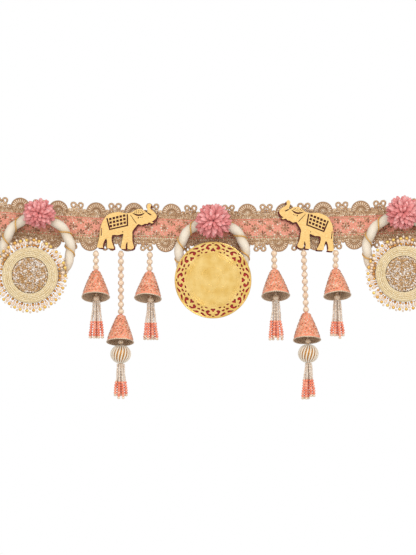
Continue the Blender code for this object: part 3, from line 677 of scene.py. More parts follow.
def rosette(pile, x, v, chance, low=0.0, high=360.0):
    """Eight pointed leaves in two sizes round a knot, with small knots between."""
    for index in range(8):
        angle = 45.0 * index
        if not low <= angle <= high:
            continue
        long_one = index % 2 == 0
        turn = spin_y(math.radians(angle))
        for reach, radii in (
                (3.1 if long_one else 3.5, (1.25, 0.45, 0.9) if long_one else (1.0, 0.42, 0.75)),
                (1.7, (0.75, 0.5, 0.5))):
            along = math.cos(math.radians(angle))
            across = math.sin(math.radians(angle))
            centre = band_spot(x + reach * along, v + reach * across, 0.5)
            bead(pile, centre, radii, BALL_SMALL, turn, chance.choice((0.08, 0.25, 0.5, 0.85)))
    bead(pile, band_spot(x, v, 0.6), (0.8, 0.5, 0.8), BALL_SMALL, shade=0.15)


def build_rosettes(looks):
    chance = random.Random(9)
    pile = Pile()
    pitch = REPEAT * 0.4
    middle = (FIELD_TOP + FIELD_LOW) / 2.0
    for index in range(-16, 17):
        x = TOP_FAN_X + pitch * index
        if abs(x) < BAND_HALF - 6.0:
            rosette(pile, x, middle, chance)
        x += pitch / 2.0
        if abs(x) < BAND_HALF - 6.0:
            rosette(pile, x, FIELD_TOP - 1.6, chance, 180.0, 360.0)
            rosette(pile, x, FIELD_LOW + 1.6, chance, 0.0, 180.0)
    for x in np.arange(-BAND_HALF + 5.0, BAND_HALF - 4.0, pitch / 4.0):
        for v in (middle - 5.6, middle + 5.6):
            bead(pile, band_spot(x, v + chance.uniform(-0.5, 0.5), 0.42), (0.6, 0.3, 0.45), BALL_SMALL,
                shade=chance.uniform(0.5, 1.0))
    return pile.piece("band_rosettes", [looks["zari"]])


def build_hems(looks):
    """Turned and stitched ends of the band."""
    pile = Pile()
    for side in (-1.0, 1.0):
        xs = side * np.linspace(BAND_HALF - HEM, BAND_HALF, 7)
        vs = np.linspace(-6.4, -42.2, 24)
        grid_x, grid_v = np.meshgrid(xs, vs)
        fold = np.where(np.abs(grid_x) > BAND_HALF - 0.6, 0.2, 0.75)
        front = band_spot(grid_x, grid_v, 0.35)
        back = band_spot(grid_x, grid_v, -fold)
        if side < 0:
            front = front[:, ::-1]
            back = back[:, ::-1]
        closed_sheet(pile, front, back, 0.5, 0)
        for v in np.arange(-8.0, -41.0, -2.6):
            bead(pile, band_spot(side * (BAND_HALF - HEM + 1.6), v, 0.42), (0.28, 0.22, 0.9), BALL_SMALL,
                shade=0.8, slot=1)
    return pile.piece("band_hems", [looks["ground"], looks["stitch"]])


# Padded rings and their winding cord

CORD_TURNS = 11
TUBE_RADIUS = 4.5
TUBE_SWELL = 0.6


def ring_frame(name):
    x, z = MOTIFS[name][0:2]
    return x, z


def build_rings(looks):
    for name in ALL:
        x, z = ring_frame(name)
        steps = CORD_TURNS * 24
        sides = 64
        along, around = np.meshgrid(
            2.0 * np.pi * np.arange(steps) / steps, 2.0 * np.pi * np.arange(sides) / sides, indexing="ij")
        phase = CORD_TURNS * along - around
        swell = 0.5 - 0.5 * np.cos(phase)
        pleat = np.cos(math.pi * np.arange(sides))[None, :]
        radius = TUBE_RADIUS - TUBE_SWELL + 2.0 * TUBE_SWELL * swell ** 0.6 + 0.09 * pleat
        reach = RING_RADIUS + radius * np.cos(around)
        turn = along + math.radians(90.0)
        xs = x + reach * np.cos(turn)
        zs = z + reach * np.sin(turn)
        points = world(xs, zs, RING_DEPTH + radius * np.sin(around)).reshape(-1, 3)
        # Painted shade: the cloth is lighter where it puffs out between the cord's turns and darker in the
        # creases the cord pulls in; the fine pleats are painted lighter on their crests and darker between
        # them.
        shade = (0.3 + 0.45 * swell ** 0.5 + 0.16 * pleat).ravel()
        pile = Pile()
        pile.add(points, grid_faces(steps, sides, True, True), shade)
        padded = pile.piece("ring_tube_" + name, [looks["cloth"]])
        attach(padded, "root")
        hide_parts("ring_" + name)

        pile = Pile()
        count = CORD_TURNS * 48
        spins = 2.0 * np.pi * np.arange(count) / count
        for strand in (0.0, math.pi):
            twist = spins * CORD_TURNS * 9.0 + strand
            circle = spins * CORD_TURNS
            out = TUBE_RADIUS - TUBE_SWELL + 0.55 + 0.34 * np.cos(twist)
            shift = 0.34 * np.sin(twist) / RING_RADIUS
            turn = spins + math.radians(90.0) + shift
            reach = RING_RADIUS + out * np.cos(circle)
            path = world(x + reach * np.cos(turn), z + reach * np.sin(turn),
                RING_DEPTH + out * np.sin(circle))
            # Painted shade: each strand is lighter where its twist brings it outward and darker where it
            # tucks in.
            tube(pile, path, 0.42, 5, True, 0.62 + 0.2 * np.cos(twist))
        cord = pile.piece("ring_winding_" + name, [looks["gold_cord"]])
        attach(cord, "root")
        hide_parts("ring_cord_" + name)


# Flowers

# Flowers: columns name, x, z, half width, half height, seed
FLOWERS = (
    ("left", -173.0, -8.7, 18.0, 15.6, 3),
    ("centre", 0.3, -16.3, 19.6, 18.6, 7),
    ("right", 189.0, -8.0, 19.0, 17.8, 11),
)
# Layers of petals: columns count, length as a share, rise of the tip, root reach, root height
PETAL_LAYERS = (
    (15, 1.00, 1.6, 3.0, 2.0),
    (15, 0.97, 4.0, 2.6, 3.6),
    (14, 0.92, 6.6, 2.2, 5.2),
    (12, 0.84, 9.2, 1.8, 7.0),
    (10, 0.72, 11.6, 1.4, 8.6),
    (8, 0.54, 13.0, 1.0, 9.8),
    (5, 0.34, 13.8, 0.6, 10.6),
)


def petal(pile, centre, turn, reach, rise, root, lift, width, chance):
    """Slim blade, folded a little along its middle, round at its tip and curled."""
    rows = 9
    columns = 5
    share = np.linspace(0.0, 1.0, rows)
    outline = np.array([0.34, 0.60, 0.80, 0.93, 1.0, 1.0, 0.92, 0.70, 0.26])
    curl = chance.uniform(-0.9, 1.2)
    bend = chance.uniform(-1.6, 1.6)
    cup = chance.uniform(0.35, 0.9)
    roll = chance.uniform(-0.9, 0.9)
    distance = root + (reach - root) * share
    height = lift + (rise
        - lift) * share ** 0.8 + 1.1 * np.sin(math.pi * share) + curl * share ** 3 - 0.5 * cup
    side = bend * share ** 2
    front = np.zeros((rows, columns, 3))
    shade = np.zeros((rows, columns))
    base = chance.uniform(0.42, 0.98)
    for column in range(columns):
        across = (column / (columns - 1) - 0.5) * 2.0
        offset = across * width / 2.0 * outline + side
        along_x = distance * math.cos(turn) - offset * math.sin(turn)
        along_y = distance * math.sin(turn) + offset * math.cos(turn)
        depth = DISC_DEPTH + height + cup * across * across + roll * across * share
        front[:, column] = world(centre[0] + along_x, centre[1] + along_y, depth)
        # Painted shade and sheen: each petal's own tone (base) is darkened towards its root, where the petals
        # crowd together, and towards its edges, which leaves a painted satin streak down its middle; a rolled
        # petal is painted lighter on the side that rolls forward.
        shade[:,
            column] = base * (0.3 + 0.7 * share ** 0.6) * (1.0 - 0.3 * abs(across)) + 0.08 * roll * across
    back = front + np.array((0.0, 0.32, 0.0))
    # The back of each petal is painted darker, at 0.8 of the front's shade.
    both = np.concatenate((shade.ravel(), shade.ravel() * 0.8))
    closed_sheet(pile, front, back, np.clip(both, 0.0, 1.0))


def build_flowers(looks):
    for name, x, z, half_width, half_height, seed in FLOWERS:
        chance = random.Random(seed)
        pile = Pile()
        for layer, (count, length, rise, root, lift) in enumerate(PETAL_LAYERS):
            start = chance.uniform(0.0, 1.0)
            for index in range(count):
                turn = 2.0 * math.pi * (index + start + chance.uniform(-0.2, 0.2)) / count
                far = math.hypot(half_width * math.cos(turn), half_height * math.sin(turn))
                reach = far * length * chance.uniform(0.88, 1.0)
                width = (5.4 - 0.35 * layer) * chance.uniform(0.8, 1.1)
                petal(pile, (x, z), turn, reach, rise + chance.uniform(-0.7, 0.7), root, lift, width, chance)
        # Painted shade: a dark core ball and a dark disc under the petals stand in for the shade at the
        # flower's middle and in the gaps between petals.
        core = world(x, z, DISC_DEPTH + 3.4)
        bead(pile, core, (5.6, 3.3, 5.6), BALL_MID, shade=0.05)
        bead(pile, world(x, z, DISC_DEPTH + 0.5), (8.0, 0.45, 8.0), BALL_FINE, shade=0.2)
        flower = pile.piece("flower_petals_" + name, [looks["petal"]])
        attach(flower, "root")
        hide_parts("flower_" + name)


# Flat cut pieces

def encloses(loop, point):
    """Whether a closed loop of points goes round the given point."""
    inside = False
    for (x0, y0), (x1, y1) in zip(loop, loop[1:] + loop[:1]):
        if (y0 > point.y) != (y1 > point.y):
            if point.x < x0 + (point.y - y0) * (x1 - x0) / (y1 - y0):
                inside = not inside
    return inside


def rounded(loop, steps=3):
    """Closed smooth curve through the loop's points."""
    points = [Vector(point) for point in loop]
    count = len(points)
    curve = []
    for i in range(count):
        before, here, after, beyond = (points[(i + shift) % count] for shift in (-1, 0, 1, 2))
        for step in range(steps):
            t = step / steps
            curve.append(tuple(0.5 * (
                2.0 * here + (after - before) * t + (2.0 * before - 5.0 * here + 4.0 * after - beyond) * t * t
                + (3.0 * here - before - 3.0 * after + beyond) * t ** 3)))
    return curve


def cut_plate(name, loops, place, depth, thick, looks, bevel=0.25):
    """Flat plate inside the first loop and outside the others, with softened edges."""
    loops = [list(loop) for loop in loops]
    points = []
    edges = []
    for loop in loops:
        start = len(points)
        points.extend(Vector(point) for point in loop)
        edges.extend((start + i, start + (i + 1) % len(loop)) for i in range(len(loop)))
    spots, _edges, faces = delaunay_2d_cdt(points, edges, [], 1, 1e-5)[0:3]
    kept = []
    for face in faces:
        middle = sum((spots[i] for i in face), Vector((0.0, 0.0))) / len(face)
        if encloses(loops[0], middle) and not any(encloses(loop, middle) for loop in loops[1:]):
            a, b, c = (spots[i] for i in face[0:3])
            kept.append(tuple(face) if (b - a).cross(c - a) > 0.0 else tuple(face[::-1]))
    mesh = bpy.data.meshes.new(name)
    x, z = place
    verts = [((x + spot.x) * MM, (WALL - depth - thick) * MM, (z + spot.y) * MM) for spot in spots]
    mesh.from_pydata(verts, [], kept)
    mesh.materials.append(looks[0].mat)
    mesh.materials.append(looks[1].mat)
    obj = bpy.data.objects.new(name, mesh)
    bpy.context.scene.collection.objects.link(obj)
    solid = obj.modifiers.new("Thickness", "SOLIDIFY")
    solid.thickness = thick * MM
    solid.offset = -1.0
    solid.material_offset_rim = 1
    edge = obj.modifiers.new("Edges", "BEVEL")
    edge.width = bevel * MM
    edge.segments = 2
    edge.limit_method = "ANGLE"
    edge.angle_limit = math.radians(50.0)
    return obj


def circle(radius, steps):
    return [
        (radius * math.cos(2.0 * math.pi * i / steps), radius * math.sin(2.0 * math.pi * i / steps))
        for i in range(steps)
    ]


def at_angle(points, turn):
    """Place (along, out) points, drawn upwards from the disc's centre, at a turn."""
    return [
        (along * math.cos(turn) + out * math.sin(turn), -along * math.sin(turn) + out * math.cos(turn))
        for along, out in points
    ]


FILIGREE_SPADE = (
    (0.0, 32.1), (1.2, 30.7), (2.3, 29.7), (2.1, 28.7), (1.0, 28.4), (0.0, 28.9),
    (-1.0, 28.4), (-2.1, 28.7), (-2.3, 29.7), (-1.2, 30.7),
)
FILIGREE_CAP = ((-1.5, 36.7), (1.5, 36.7), (0.0, 35.5))
FILIGREE_CURL = (
    (1.3, 34.9), (2.9, 35.7), (5.0, 35.0), (6.7, 33.1), (7.3, 31.2), (5.8, 30.2), (4.0, 30.2), (3.2, 31.7),
    (4.4, 32.5), (4.2, 33.7), (2.6, 34.0),
)
FILIGREE_RIM_LEAF = (
    (7.0, 36.0), (9.5, 35.3), (11.2, 34.3), (12.5, 33.2), (11.7, 32.2), (10.0, 32.8), (8.6, 34.3),
)
FILIGREE_BUD = ((8.4, 31.0), (10.3, 31.2), (11.7, 30.1), (10.9, 29.0), (9.6, 29.6))
FILIGREE_SLIT = ((5.2, 28.0), (7.3, 28.0), (8.5, 26.8), (6.6, 26.7))


def filigree():
    """Spade, cap, curls, leaves and buds, mirrored and eight times round the rim."""
    loops = []
    for repeat in range(8):
        turn = 2.0 * math.pi * repeat / 8
        loops.append(rounded(at_angle(FILIGREE_SPADE, turn)))
        loops.append(at_angle(FILIGREE_CAP, turn))
        for shape in (FILIGREE_CURL, FILIGREE_RIM_LEAF, FILIGREE_BUD, FILIGREE_SLIT):
            mirrored = tuple((-along, out) for along, out in shape[::-1])
            loops.append(rounded(at_angle(shape, turn)))
            loops.append(rounded(at_angle(mirrored, turn)))
        half = turn + math.pi / 8
        loops.append(rounded(at_angle(((0.0, 30.2), (0.8, 29.3), (0.0, 28.3), (-0.8, 29.3)), half)))
    return loops


def build_gold_disc(looks):
    place = MOTIFS["centre"][2:4]
    backing = cut_plate("disc_back", [circle(37.6, 96)], place, DISC_DEPTH, 1.6,
        (looks["red"], looks["burnt"]))
    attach(backing, "root")
    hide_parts("disc_backing")
    plate = cut_plate(
        "disc_front", [circle(38.2, 128)] + filigree(), place, DISC_DEPTH + 1.9, 1.2, (looks["gold"],
            looks["gold"]), 0.2)
    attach(plate, "root")
    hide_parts("disc_plate")
    pile = Pile()
    for radius, size in ((37.6, 0.5), (26.2, 0.26), (24.8, 0.14), (23.4, 0.14), (12.4, 0.14), (6.2, 0.14)):
        turns = 2.0 * math.pi * np.arange(120) / 120
        path = world(place[0] + radius * np.cos(turns), place[1] + radius * np.sin(turns), DISC_DEPTH + 3.1)
        tube(pile, path, size, 6, True)
    rims = pile.piece("disc_rims", [looks["gold"]])
    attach(rims, "root")


# Pearl discs

COIL_ROWS = (18.7, 20.45, 22.2, 23.95, 25.7, 27.2)
FRINGE_COUNT = 34


def build_pearl_discs(looks):
    for name, seed in (("left", 21), ("right", 22)):
        chance = random.Random(seed)
        x, z = MOTIFS[name][2:4]
        pile = Pile()
        bead(pile, world(x, z, DISC_DEPTH + 1.2), (28.4, 1.2, 28.4), ball(48, 12), shade=0.35, slot=2)
        for index in range(FRINGE_COUNT):
            turn = 2.0 * math.pi * (index + chance.uniform(-0.12, 0.12)) / FRINGE_COUNT
            between = turn + math.pi / FRINGE_COUNT
            rows = (
                (turn, 29.6, (1.5, 1.4, 1.45), 0, chance.uniform(0.0, 0.5)),
                (turn, 35.2, (1.7, 1.6, 1.75), 0, chance.uniform(0.45, 1.0)),
                (turn, 32.4, (1.4, 1.3, 1.2), 2, chance.uniform(0.3, 0.7)),
                (between, 32.6, (2.4, 1.5, 1.5), 1, 0.8),
                (between, 36.8, (1.25, 1.1, 1.1), 2, chance.uniform(0.2, 0.9)),
                (between, 29.6, (0.9, 0.8, 0.8), 0, chance.uniform(0.0, 0.4)),
            )
            for angle, reach, radii, slot, shade in rows:
                reach += chance.uniform(-0.35, 0.35)
                lift = 2.0 + chance.uniform(-0.25, 0.45)
                centre = world(x + reach * math.cos(angle), z + reach * math.sin(angle), DISC_DEPTH + lift)
                bead(pile, centre, radii, BALL_MID, spin_y(angle), shade, slot)
        fringe = pile.piece("pearl_fringe_" + name, [looks["gold_bead"], looks["pearl"], looks["clear"]])
        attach(fringe, "root")
        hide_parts("pearl_base_" + name)

        pile = Pile()
        for row, reach in enumerate(COIL_ROWS):
            count = int(2.0 * math.pi * reach / 1.55)
            height = 5.4 - 0.16 * (row - 2.2) ** 2
            for index in range(count):
                angle = 2.0 * math.pi * (index + 0.5 * (row % 2)) / count
                wander = reach + 0.12 * math.sin(3.0 * angle + row) + chance.uniform(-0.08, 0.08)
                centre = world(x + wander * math.cos(angle), z + wander * math.sin(angle),
                    DISC_DEPTH + height)
                bead(pile, centre, (0.95, 0.9, 0.78), BALL_SMALL, spin_y(angle + math.pi / 2.0),
                    chance.uniform(0.3, 0.9))
        turns = 2.0 * math.pi * np.arange(72) / 72
        for reach in (19.6, 21.3, 23.1, 24.8, 26.4):
            path = world(x + reach * np.cos(turns), z + reach * np.sin(turns), DISC_DEPTH + 4.3)
            tube(pile, path, 1.0, 8, True, 0.1)
        coil = pile.piece("pearl_rows_" + name, [looks["cream_bead"]])
        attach(coil, "root")
        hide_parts("pearl_coil_" + name)

        pile = Pile()
        bead(pile, world(x, z, DISC_DEPTH + 3.6), (17.8, 0.5, 17.8), ball(40, 8), shade=0.25)
        spots = []
        tries = 0
        while len(spots) < 330 and tries < 30000:
            tries += 1
            angle = chance.uniform(0.0, 2.0 * math.pi)
            reach = 17.0 * math.sqrt(chance.random())
            spot = Vector((reach * math.cos(angle), reach * math.sin(angle)))
            if all((spot - other).length > 1.28 for other in spots):
                spots.append(spot)
        for spot in spots:
            size = chance.uniform(0.75, 1.25)
            centre = world(x + spot.x, z + spot.y, DISC_DEPTH + 4.5 + chance.uniform(-0.3, 0.9))
            lean = Matrix.Rotation(chance.uniform(0.0, 3.0), 3,
                Vector((1.0, chance.random(), chance.random())))
            bead(pile, centre, (size, size * 0.8, size * 1.15), BALL_SMALL, lean, chance.random())
        filling = pile.piece("pearl_filling_" + name, [looks["crystal"]])
        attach(filling, "root")
        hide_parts("pearl_centre_" + name)


# Elephants

# Side view of an elephant that faces right, from the middle of its saddle cloth
ELEPHANT_OUTLINE = (
    (29.1, 15.1), (29.4, 17.0), (30.9, 18.5), (32.6, 17.9), (33.2, 16.4), (32.4, 14.2), (33.4, 12.5),
    (36.4, 10.0), (38.5, 7.4), (38.8, 5.3), (37.6, 3.1), (35.4, 1.4), (33.8, 0.7), (35.7, -0.4),
    (33.8, -1.3), (31.0, -0.2), (29.6, -1.6), (27.0, -1.7), (24.4, -2.9), (22.8, -2.9), (20.3, -2.0),
    (17.6, -5.0), (14.6, -9.1), (14.5, -12.3), (14.5, -18.7), (15.6, -22.9), (16.1, -25.3), (14.8, -26.7),
    (12.8, -27.4), (9.9, -26.6), (9.6, -24.2), (9.5, -19.5), (7.8, -23.0), (7.6, -26.8), (3.4, -26.6),
    (2.9, -25.7), (4.5, -17.4), (5.4, -13.1), (4.9, -11.6), (0.0, -13.1), (-5.6, -12.9), (-6.1, -19.1),
    (-4.0, -25.1), (-4.6, -26.6), (-9.8, -26.0), (-10.8, -25.1), (-10.7, -20.8), (-11.6, -16.3),
    (-14.0, -19.6), (-15.1, -24.2), (-14.6, -25.7), (-20.4, -25.4), (-20.4, -22.9), (-18.4, -14.8),
    (-17.8, -8.0), (-15.8, -0.3), (-13.8, 3.1), (-11.5, 6.1), (-8.0, 8.5), (-0.5, 10.2), (3.4, 9.8),
    (8.1, 8.7), (10.2, 9.1), (13.2, 9.5), (17.5, 12.1), (20.1, 13.0), (23.9, 13.0), (26.5, 11.2), (29.6, 9.4),
)
SADDLE_SLOT = (
    (-11.6, 3.8), (-8.6, -8.1), (10.3, -3.8), (10.1, 7.9), (8.7, 7.9), (8.9, -2.7), (-7.6, -6.5), (-10.2,
        4.1),
)
HEAD_SLOT = ((14.1, 9.2), (17.6, 6.8), (20.7, 6.0), (24.0, 6.7), (27.1, 9.3), (23.6, 8.3), (20.6, 7.7),
    (17.3, 8.4))
EAR_SLOT = ((12.3, 7.3), (13.0, 6.9), (18.5, -0.8), (17.9, -1.0), (14.6, 3.6))
TAIL_SLOT = ((-17.0, -5.9), (-16.0, -5.9), (-16.2, -13.6), (-17.1, -13.6))
TRUNK_SLOT = ((29.3, 8.9), (30.0, 9.6), (33.3, 7.7), (32.8, 6.7))
# Round cuts: columns x, z, half size
ROUND_CUTS = (
    (20.5, 4.4, 0.75), (22.8, 4.6, 0.45), (24.3, 4.9, 0.45), (4.9, -9.7, 0.6),
    (16.9, 9.8, 0.55), (18.6, 9.2, 0.5), (18.4, 11.0, 0.6), (20.4, 9.3, 0.5), (20.9, 11.2, 0.6), (22.4,
        9.6, 0.5),
    (23.3, 11.4, 0.55), (24.6, 10.1, 0.5),
)


def saddle_squares():
    """Three rows of five square cuts that follow the cloth's slant."""
    corner = Vector((-7.5, 3.1))
    along = Vector((3.45, 0.85))
    down = Vector((0.28, -3.55))
    squares = []
    for row in range(3):
        for column in range(5):
            middle = corner + along * column + down * row
            squares.append([
                tuple(middle + Vector(offset))
                for offset in ((-1.25, -1.35), (1.25, -1.05), (1.25, 1.3), (-1.25, 1.05))
            ])
    return squares


def turned_points(points, facing, tilt):
    spun = []
    for x, z in points:
        x *= facing
        spun.append((x * math.cos(tilt) - z * math.sin(tilt), x * math.sin(tilt) + z * math.cos(tilt)))
    return spun if facing > 0 else spun[::-1]


def build_elephants(looks):
    # columns name, x, z, facing, tilt
    placed = (("left", -95.0, -17.2, 1, 0.0), ("right", 103.7, -18.1, -1, math.radians(-8.5)))
    for name, x, z, facing, tilt in placed:
        outline = rounded(ELEPHANT_OUTLINE, 2)
        cuts = [list(SADDLE_SLOT), rounded(HEAD_SLOT, 2), rounded(EAR_SLOT, 2), list(TAIL_SLOT),
            rounded(TRUNK_SLOT, 2)]
        cuts += saddle_squares()
        for spot_x, spot_z, half in ROUND_CUTS:
            cuts.append([(spot_x + half * a, spot_z + half * b) for a, b in circle(1.0, 7)])
        outline = turned_points(outline, facing, tilt)
        cuts = [turned_points(cut, facing, tilt) for cut in cuts]
        back = cut_plate(
            "elephant_board_" + name, [outline], (x + facing * 1.3, z - 1.3), 3.0, 1.5, (looks["maroon"],
                looks["burnt"]))
        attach(back, "root")
        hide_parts("elephant_back_" + name)
        front = cut_plate(
            "elephant_face_" + name, [outline] + cuts, (x, z), 4.8, 1.5, (looks["wood"], looks["burnt"]), 0.2)
        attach(front, "root")
        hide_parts("elephant_plate_" + name)


# Bead strings, cones and tassels

STRING_DEPTH = 4.6
PEARL_RADIUS = 3.1
CONE_LENGTH = 28.0
CONE_TOP_RADIUS = 3.6
CONE_BELLY = 0.7
CONE_CEILING = 2.2
BALL_RADIUS = 10.3
BALL_HALF_HEIGHT = 9.4
BALL_DEPTH = 10.7
MOUTH_BEAD_RADIUS = 3.2
MOUTH_BEAD_FORWARD = 1.6
LINK_BEAD_RADIUS = 2.7
STRAND_SPREAD_DEPTH = 0.6
# Strings: columns name, x at the band, x at the cone, top z, pearls, pitch,
# cone top z, rim radius, lean to the side, tilt off the wall
STRINGS = (
    ("1", -117.0, -117.0, -45.2, 3, 6.75, -66.0, 13.9, 0.0, 22.0),
    ("2", -92.0, -92.0, -46.0, 9, 7.15, -110.0, 13.5, -1.0, 17.0),
    ("3", -63.0, -63.5, -46.3, 3, 6.7, -67.0, 13.4, -3.0, 21.0),
    ("4", 60.8, 61.4, -45.0, 3, 6.5, -65.0, 14.0, 2.0, 22.0),
    ("5", 90.5, 93.0, -45.0, 9, 7.0, -108.0, 13.7, 1.0, 17.0),
    ("6", 122.7, 122.3, -45.2, 3, 6.3, -64.3, 13.6, 3.5, 20.0),
)
# Tassels: columns name, x, bead z, strands' top z, bead change z, tip z,
# reach at the change, reach at the tip, has ball
TASSELS = (
    ("1", -116.4, -93.2, -96.4, -115.8, -134.5, 4.9, 6.5, False),
    ("2", -92.0, -136.4, -159.5, -176.3, -192.2, 4.4, 5.8, True),
    ("3", -62.2, -94.8, -98.0, -118.2, -135.7, 4.8, 6.4, False),
    ("4", 62.8, -92.6, -95.8, -115.8, -134.4, 4.6, 6.4, False),
    ("5", 95.0, -135.9, -159.0, -175.1, -193.2, 4.4, 5.9, True),
    ("6", 124.0, -92.1, -95.3, -116.4, -132.6, 4.6, 6.2, False),
)


def build_strings(looks):
    for name, x_top, x_cone, top, pearls, pitch, apex, _rim, _lean, _tilt in STRINGS:
        pile = Pile()
        run = Vector((x_cone - x_top, apex + 0.3 - top))
        length = run.length
        down = run / length

        def spot(way):
            return world(x_top + down.x * way, top + down.y * way, STRING_DEPTH)

        ways = [length - PEARL_RADIUS - i * pitch for i in range(pearls)][::-1]
        turn = spin_y(math.atan2(down.y, down.x) + math.pi / 2.0)
        for way in ways:
            bead(pile, spot(way), (PEARL_RADIUS, PEARL_RADIUS, PEARL_RADIUS), BALL_FINE, turn, 0.8)
        for way in [way + pitch / 2.0 for way in ways[:-1]] + [ways[0] - pitch / 2.0 + 0.6]:
            bead(pile, spot(way), (1.9, 1.9, 0.85), BALL_MID, turn, 0.2, 1)
        path = np.array([spot(0.2), spot(length / 2.0), spot(length)])
        tube(pile, path, 0.45, 6, shade=0.2, slot=1)
        string = pile.piece("pearl_string_" + name, [looks["pearl"], looks["clear"]])
        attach(string, "root")
        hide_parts("string_" + name)


class ConePlace:
    """Where a cone's cloth runs, from its own height and turn to the wall's frame."""

    def __init__(self, row):
        self.name = row[0]
        self.rim = row[7]
        tilt = Matrix.Rotation(math.radians(-row[9]), 3, "X")
        self.turned = np.array(Matrix.Rotation(math.radians(-row[8]), 3, "Y") @ tilt)
        self.start = world(row[2], row[6], STRING_DEPTH)
        self.chance = random.Random(int(self.name) + 40)
        self.phases = (self.chance.uniform(0.0, 6.0), self.chance.uniform(0.0, 6.0))

    def reach(self, share, turns):
        """Radius of the cloth at a share of the way down, with its small unevenness."""
        straight = CONE_TOP_RADIUS + (self.rim - CONE_TOP_RADIUS) * share
        uneven = 0.18 * np.sin(3.0 * turns + self.phases[0]) + 0.12 * np.sin(5.0 * turns + self.phases[1])
        return straight + 4.0 * CONE_BELLY * share * (1.0 - share) + uneven * share

    def points(self, reach, turns, z):
        local = np.stack(np.broadcast_arrays(reach * np.cos(turns), reach * np.sin(turns), z), axis=-1)
        return local @ self.turned.T + self.start


def build_cone_cloth(place, looks):
    sides = 64
    turns = 2.0 * math.pi * np.arange(sides) / sides
    rows = [(0.9, 0.0), (2.3, -0.1), (3.2, -0.35)]
    rows = [place.points(np.full(sides, reach), turns, z) for reach, z in rows]
    for share in np.linspace(0.03, 1.0, 24):
        rows.append(place.points(place.reach(share, turns), turns, -CONE_LENGTH * share))
    outer = len(rows)
    rows.append(place.points(place.reach(1.0, turns) - 0.5, turns, -CONE_LENGTH - 0.25))
    for share in np.linspace(1.0, 0.09, 14):
        rows.append(place.points(place.reach(share, turns) - 1.0, turns, -CONE_LENGTH * share))
    pile = Pile()
    pile.add(np.concatenate(rows), grid_faces(len(rows), sides, False, True), 0.5)
    pile.slots = [0 if index // sides < outer else 1 for index in range(len(pile.faces))]
    last = (len(rows) - 1) * sides
    pile.faces.append(tuple(range(sides)))
    pile.faces.append(tuple(last + i for i in range(sides)))
    pile.slots.extend([0, 1])
    return pile.piece("cone_cloth_" + place.name, [looks["cone"], looks["inside"]])


def build_cone_threads(place, looks):
    """Short slanted turns of light and dark thread woven in rows over the cloth."""
    pile = Pile()
    for row in range(15):
        share = 0.07 + 0.058 * row
        reach = float(place.reach(share, 0.0))
        count = int(2.0 * math.pi * reach / 3.3)
        for index in range(count):
            turn = 2.0 * math.pi * (index + 0.5 * (row % 2) + place.chance.uniform(-0.2, 0.2)) / count
            slant = math.radians(28.0 if row % 2 else -28.0)
            along = np.linspace(-1.0, 1.0, 3)
            spots = place.points(
                place.reach(share, turn) + 0.12, turn + along * math.cos(slant) / reach,
                -CONE_LENGTH * share + along * math.sin(slant))
            shade = place.chance.choice((0.05, 0.3, 0.55, 0.8, 0.95))
            tube(pile, spots, np.array((0.22, 0.42, 0.22)), 5, shade=shade)
    return pile.piece("cone_threads_" + place.name, [looks["zari"]])


def build_cone_edge(place, looks):
    pile = Pile()
    count = 88
    turns = 2.0 * math.pi * np.arange(count) / count
    twist = np.cos(np.arange(count) * math.pi)
    path = place.points(place.reach(1.0, turns) - 0.1, turns, -CONE_LENGTH)
    # Painted shade: the edge cord is lighter where its twist swells and darker where it pinches in.
    tube(pile, path, 0.5 * (1.0 + 0.2 * twist), 6, True, 0.75 + 0.2 * twist)
    return pile.piece("cone_edge_" + place.name, [looks["zari"]])


def build_cones(looks):
    for row in STRINGS:
        place = ConePlace(row)
        cloth = build_cone_cloth(place, looks)
        trims = [build_cone_threads(place, looks), build_cone_edge(place, looks)]
        for piece in [cloth] + trims:
            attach(piece, "root")
            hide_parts("cone_" + place.name)


def strand_beads(pile, tassel, base, depth, turn, chance, inner=1.0):
    """One strand of seed beads: white from the head, coral below, a pearl at its end."""
    top, change, tip, wide, spread = tassel[3:8]
    z = top + 0.3
    end = tip + 2.6 + chance.uniform(-0.6, 2.0)
    sway = chance.uniform(0.0, 6.0)
    centre = None
    while z > end:
        white = z > change
        if white:
            share = (top - z) / (top - change)
            reach = 2.9 + (wide - 2.9) * share
        else:
            share = (change - z) / (change - tip)
            reach = wide + (spread - wide) * min(1.0, 1.6 * share)
        reach = reach * inner + 0.3 * math.sin(z * 0.3 + sway)
        centre = world(base + reach * math.cos(turn), z, depth + STRAND_SPREAD_DEPTH * reach * math.sin(turn))
        if white:
            bead(pile, centre, (1.2, 1.05, 0.8), BALL_SMALL, None, chance.uniform(0.3, 1.0), 0)
            z -= 1.5
        else:
            bead(pile, centre, (1.6, 1.35, 1.35), BALL_MID, None, chance.uniform(0.1, 1.0), 1)
            z -= 2.55
    centre = world(centre[0], z + 0.3, WALL - centre[1])
    bead(pile, centre, (1.5, 1.4, 1.35), BALL_MID, None, 0.7, 2)


